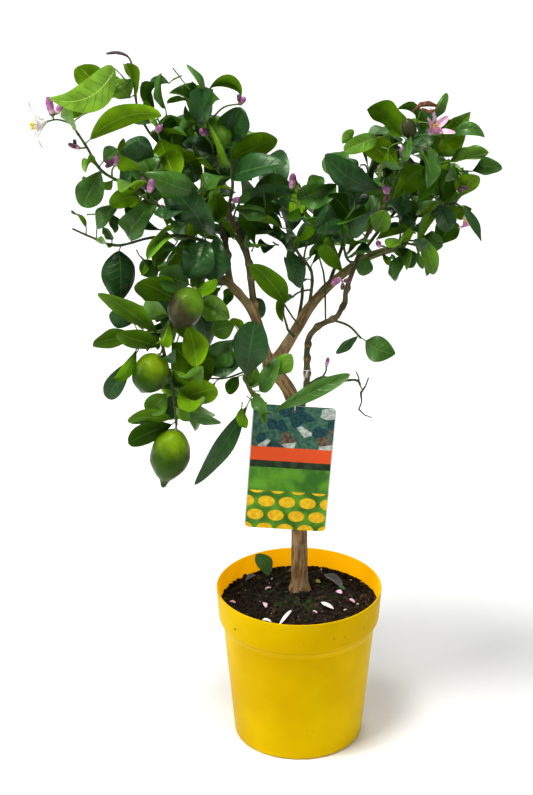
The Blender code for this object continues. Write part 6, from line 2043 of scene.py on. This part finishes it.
def petal_numbers(leaf):
    chance = random.Random(f"{leaf.tip.x:.4f} {leaf.tip.z:.4f} petal")
    white = leaf.foot.x < -0.2
    longer, wider = (1.3, 1.35) if white else (1.12, 1.15)
    return {"length": leaf.chord.length * longer, "width": leaf.width * wider, "bend": leaf.bend * 1.3,
            "fold": leaf.fold, "roll": chance.uniform(-0.3, 0.3), "twist": chance.uniform(-0.5, 0.5),
            "curl": chance.uniform(-0.5, 0.2), "wave": chance.uniform(0.02, 0.08),
            "phase": chance.uniform(0, 6.28), "droop": chance.uniform(-0.4, 1.6), "lean": 1.15, "full": 0.5,
            "sickle": chance.gauss(0, 0.2), "shade": 0 if white else 1}


petal_leaves = [leaf for leaf in crown.leaves if leaf.kind == "petal"]
flower_masses = sorted({node_name(row[0]) for row in FLOWERS})
seated(bladed("petals", petal_leaves, petal_numbers, petal_tree, fine_blade), flower_masses)

# %% Stamens
stamen_finishes = [mottled("stamen", (0.7, 0.68, 0.62), (0.8, 0.78, 0.72), 200, 0.5),
                   mottled("anther", (0.7, 0.42, 0.02), (0.86, 0.6, 0.06), 300, 0.8),
                   mottled("ovary", (0.1, 0.2, 0.03), (0.16, 0.26, 0.05), 300, 0.5)]
stamen_lines = []
for _, middle, facing, length, _, _ in FLOWERS:
    middle, facing = centimetres(middle), Vector(facing).normalized()
    across = facing.orthogonal().normalized()
    reach = length * CM * (0.72 if middle.x < -0.2 else 0.45)
    for k in range(13):
        around = Quaternion(facing, 2 * math.pi * k / 13) @ across
        foot = middle + around * 1.6 * MM + facing * 0.5 * MM
        top = middle + facing * reach * (0.9 + 0.08 * (k % 3)) + around * 3.0 * MM
        stamen_lines.append(([(foot, 0.3 * MM), (foot.lerp(top, 0.5) + around * 0.3 * MM, 0.28 * MM),
                              (top, 0.25 * MM)], 0))
        head = facing * 1.3 * MM + around * 0.4 * MM
        stamen_lines.append(([(top - head * 0.4, 0.3 * MM), (top, 1.0 * MM), (top + head, 0.95 * MM),
                              (top + head * 1.5, 0.2 * MM)], 1))
    stamen_lines.append(([(middle - facing * MM, 1.6 * MM), (middle + facing * 2 * MM, 1.9 * MM),
                          (middle + facing * 4 * MM, 0.9 * MM), (middle + facing * reach, 0.6 * MM),
                          (middle + facing * (reach + MM), 0.9 * MM)], 2))
seated(strands("stamens", stamen_finishes, stamen_lines, 6), flower_masses)

# %% [markdown]
# ## Fallen leaves and petals
#
# A few leaves and petals have dropped on the soil. They could be scattered by a rule, but there are few and
# the photo shows where, so their places are listed. They use the leaf tree again, with finishes of their
# own.

# %% Fallen leaves and petals
FALLEN_LEAVES = (
    ((-3.5, 4.2, 0.3), (-4.9, 6.2, 2.9), 1.9, 1, 0.7), ((-6.2, 3.9, 0.4), (-5.0, 4.9, 0.5), 0.6, 0, 1.6),
    ((3.0, 3.8, 0.5), (5.0, 1.6, 0.3), 1.4, 0, 0.5), ((4.6, 1.6, 0.2), (5.3, 1.0, 0.3), 0.5, 1, 0.5),
    ((2.0, 2.6, 0.3), (2.5, 2.2, 0.3), 0.4, 3, 0.5), ((-1.2, 5.6, 0.4), (0.6, 6.2, 0.3), 0.9, 0, 0.7))
FALLEN_PETALS = (
    ((4.0, 2.6, 0.3), (4.3, 3.5, 0.5), 0.4, 0, 1.2), ((4.3, 0.3, 0.2), (4.9, -0.4, 0.3), 0.5, 1, 0.8),
    ((2.5, -2.9, 0.2), (3.9, -3.7, 0.3), 0.5, 0, 0.6), ((-4.1, -2.2, 0.2), (-3.8, -3.5, 0.3), 0.5, 1, 0.9),
    ((-8.0, -0.6, 0.2), (-7.3, -1.2, 0.3), 0.4, 1, 0.7), ((-3.9, 0.6, 0.2), (-3.2, 0.4, 0.3), 0.3, 1, 0.6),
    ((-4.2, -5.4, 0.2), (-3.2, -5.8, 0.2), 0.4, 0, 0.7), ((-2.3, -6.3, 0.2), (-0.9, -4.5, 0.3), 0.35, 0, 1.3),
    ((1.5, -4.4, 0.2), (2.0, -4.7, 0.2), 0.3, 1, 0.6), ((5.8, -0.8, 0.2), (6.4, -1.3, 0.3), 0.35, 1, 0.9))
GROUND = BVHTree.FromPolygons([vertex.co for vertex in mound.data.vertices],
                              [polygon.vertices for polygon in mound.data.polygons])


def on_soil(spot):
    """A spot given in centimetres, with its height counted from the soil."""
    above = Vector((spot[0] * CM, spot[1] * CM, 0.3))
    return GROUND.ray_cast(above, -UP)[0] + UP * (spot[2] * CM + 1 * MM)


def fallen_numbers(leaf, full):
    chance = random.Random(f"{leaf.tip.x:.4f} fallen")
    return {"length": leaf.chord.length, "width": leaf.width, "bend": leaf.bend,
            "fold": chance.uniform(0.1, 0.5), "roll": chance.uniform(-0.3, 0.3),
            "twist": chance.uniform(-0.8, 0.8), "curl": chance.uniform(-0.5, 0.6), "wave": 0.1,
            "phase": chance.uniform(0, 6.28), "droop": 0.2, "lean": 1.0, "full": full,
            "sickle": chance.uniform(-0.3, 0.3), "shade": leaf.shade}


def fallen(name, rows, tree, full):
    facing = UP + Vector((0.1, -0.4, 0))
    leaves = [Leaf("soil", None, on_soil(foot), on_soil(tip), facing, width * CM, bend, 0.3, shade=shade)
              for foot, tip, width, shade, bend in rows]
    made = bladed(name, leaves, lambda leaf: fallen_numbers(leaf, full), tree, fine_blade)
    seated(made, ["soil"])


FALLEN_FINISHES = [
    *(mottled(f"dry leaf {part}", (0.075, 0.072, 0.06), (0.12, 0.115, 0.095), 120, 0.8)
      for part in ("upper", "under", "rib")),
    *leaf_finishes[3:9],
    *(mottled(f"yellow bit {part}", (0.42, 0.33, 0.03), (0.52, 0.42, 0.05), 120, 0.7)
      for part in ("upper", "under", "rib")),
]
fallen("fallen_leaves", FALLEN_LEAVES, leaf_tree(FALLEN_FINISHES), 0.6)
fallen("fallen_petals", FALLEN_PETALS, petal_tree, 0.45)

# %% [markdown]
# ## The label
#
# A stiff printed card hangs in front of the trunk on a cotton thread. The card keeps the frame's own shape,
# and only gets a print: a mosaic of dark tiles above, an orange band, and rows of discs on green below, laid
# out in the card's own coordinates, which a Mapping node turns to the card's place.

# %% The label's place


def mark_at(path, height, step=MM):
    """How far along a limb a height lies."""
    marks = [k * step for k in range(round(path.length / step))]
    return min(marks, key=lambda mark: abs(path.point(mark).z - height))


def front_at(name, height):
    """How far forward a limb's surface stands at a height."""
    path = crown.limbs[name]
    mark = mark_at(path, height)
    return path.point(mark).y - path.radius(mark)


def label_place():
    """The card's place: it leans with its foot on the trunk and its head on the front bough."""
    foot = front_at("trunk", LABEL_LEVEL - LABEL_HEIGHT / 2)
    head = front_at("front_bough", LABEL_LEVEL + LABEL_HEIGHT / 2)
    middle = (foot + head) / 2 - GAP - LABEL_THICKNESS / 2
    lean = math.atan2(foot - head, LABEL_HEIGHT)
    return (Matrix.Translation((LABEL_MIDDLE, middle, LABEL_LEVEL)) @ Matrix.Rotation(LABEL_ROLL, 4, "Y")
            @ Matrix.Rotation(lean, 4, "X"))


card_place = label_place()
print("card at", tuple(round(value, 4) for value in card_place.translation))

# %% The label's print
card = Finish("printed card", 0.4, 0.12)
undo = card_place.inverted()
flat_card = card.part(card.add("ShaderNodeMapping", (), {"Vector": card.place, "Location": undo.translation,
                                                         "Rotation": undo.to_euler()}))
side, level = flat_card / LABEL_WIDTH, flat_card.output("Z") / LABEL_HEIGHT


def above(height, soft=0.002):
    return card.fade(level, height - soft, height + soft)


def shaded(scale, low, high):
    return card.blend(card.fade(card.speckle(scale, 3), 0.35, 0.65), low, high)


tiles = card.add("ShaderNodeTexVoronoi", {"voronoi_dimensions": "2D"},
                 {"Vector": card.join(side * 7, level * 14, 0.0), "Scale": 1.0}, "Color")
tile = card.part(tiles)
upper_panel = shaded(300, (0.004, 0.03, 0.035), (0.012, 0.075, 0.08))
for share, soft, *ink in ((0.3, 0.04, 250, (0.02, 0.08, 0.05), (0.06, 0.16, 0.1)),
                          (0.64, 0.04, 300, (0.06, 0.04, 0.025), (0.16, 0.11, 0.07)),
                          (0.8, 0.02, 260, (0.3, 0.36, 0.31), (0.62, 0.65, 0.58))):
    upper_panel = card.blend(card.fade(tile, share, share + soft), upper_panel, shaded(*ink))
row = level * 9
stagger = card.reckon("FLOORED_MODULO", card.reckon("FLOOR", row), 2.0) * 0.5
cells = card.join(card.reckon("FRACT", side * 4 + stagger) - 0.5, card.reckon("FRACT", row) - 0.5, 0.0)
disc = 1 - card.fade(card.reckon("LENGTH", cells), 0.38, 0.42)
art = card.blend(disc * (1 - above(-0.19)), shaded(45, (0.035, 0.15, 0.012), (0.12, 0.36, 0.02)),
                 shaded(200, (0.78, 0.43, 0.008), (0.93, 0.62, 0.012)))
dark_band = shaded(120, (0.01, 0.024, 0.01), (0.024, 0.055, 0.02))
for height, ink in ((0.0, dark_band), (0.055, (0.8, 0.085, 0.014)), (0.165, upper_panel)):
    art = card.blend(above(height), art, ink)
plain = card.reckon("MAXIMUM", card.fade(abs(side), 0.485, 0.49),
                    card.fade(flat_card.output("Y"), 0.0, 0.0001))
card.feed("Base Color", card.blend(plain, art, (0.7, 0.7, 0.66)))
card.relief(card.speckle(700), 0.15, 0.0003)
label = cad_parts["label_card"]
for slot in label.material_slots:
    slot.material = card.material
print("card printed on", len(label.material_slots), "slots")

# %% [markdown]
# ## The thread
#
# Two-ply white cotton: a loop round the front bough, a strand down to the card and a link through its hole.
# Each ply is a fine helix round the same line, so the twist catches the light as real thread does.

# %% The thread
PLY_TURN = 2.2 * MM


def twisted(centre_line):
    """Two plies that wind round a line."""
    route = Path(centre_line)
    plies = []
    for ply in (0, math.pi):
        line = []
        for distance in route.marks(0.0, 0.35 * MM, 6):
            along = route.tangent(distance)
            across = perpendicular(Vector((0.3, -1, 0.2)), along)
            turn = 2 * math.pi * distance / PLY_TURN + ply
            out = across * math.cos(turn) + along.cross(across) * math.sin(turn)
            line.append((route.point(distance) + out * 0.27 * MM, 0.3 * MM))
        plies.append((line, 0))
    return plies


def loop(centre, axis, radius, count=16):
    across = axis.orthogonal().normalized()
    points = circle(centre, across, axis.cross(across), radius, count)
    return twisted([*points, points[0]])


bough = crown.limbs["front_bough"]
hold = mark_at(bough, THREAD_HEIGHT, 2 * MM)
bough_middle, bough_along = bough.point(hold), bough.tangent(hold)
loop_radius = bough.radius(hold) + 2 * GAP + THREAD_RADIUS
front = perpendicular(Vector((0, -1, 0)), bough_along)
knot = bough_middle + front * (loop_radius + THREAD_RADIUS)
hole_edge = LABEL_HEIGHT / 2 - LABEL_HOLE_DROP + LABEL_HOLE_RADIUS
link_middle = card_place @ Vector((0, 0, hole_edge - GAP - THREAD_RADIUS + THREAD_LINK_RADIUS))
link_axis = (card_place.to_3x3() @ Vector((1, 0, 0))).normalized()
link_top = link_middle + perpendicular(knot - link_middle, link_axis) * THREAD_LINK_RADIUS
sag = link_top.lerp(knot, 0.5) + front * 1.2 * MM
thread_lines = [*loop(bough_middle, bough_along, loop_radius), *twisted([link_top, sag, knot]),
                *loop(link_middle, link_axis, THREAD_LINK_RADIUS),
                *loop(knot + front * 0.5 * MM, (front + bough_along * 0.6).normalized(), 0.8 * MM, 10),
                *twisted([knot, knot + front * 2 * MM - UP * 3 * MM, knot + front * 1.5 * MM - UP * 7 * MM])]
cotton = mottled("white cotton", (0.66, 0.66, 0.62), (0.8, 0.8, 0.77), 900, 0.85, grain=0.0001,
                 sheen_weight=0.3)
seated(strands("thread", [cotton], thread_lines, 6), ["label_thread"])
print("thread: strand", round(1000 * (knot - link_top).length), "mm, loop",
      round(2000 * math.pi * loop_radius), "mm")

# %% [markdown]
# ## Tidying up
#
# The two source blades are only tools and are removed, and the triangles shown are counted.

# %% Tidying up
for tool in (fine_blade, plain_blade):
    bpy.data.objects.remove(tool)
triangles = sum(len(polygon.vertices) - 2 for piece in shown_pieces() for polygon in piece.data.polygons)
print("triangles shown", triangles)
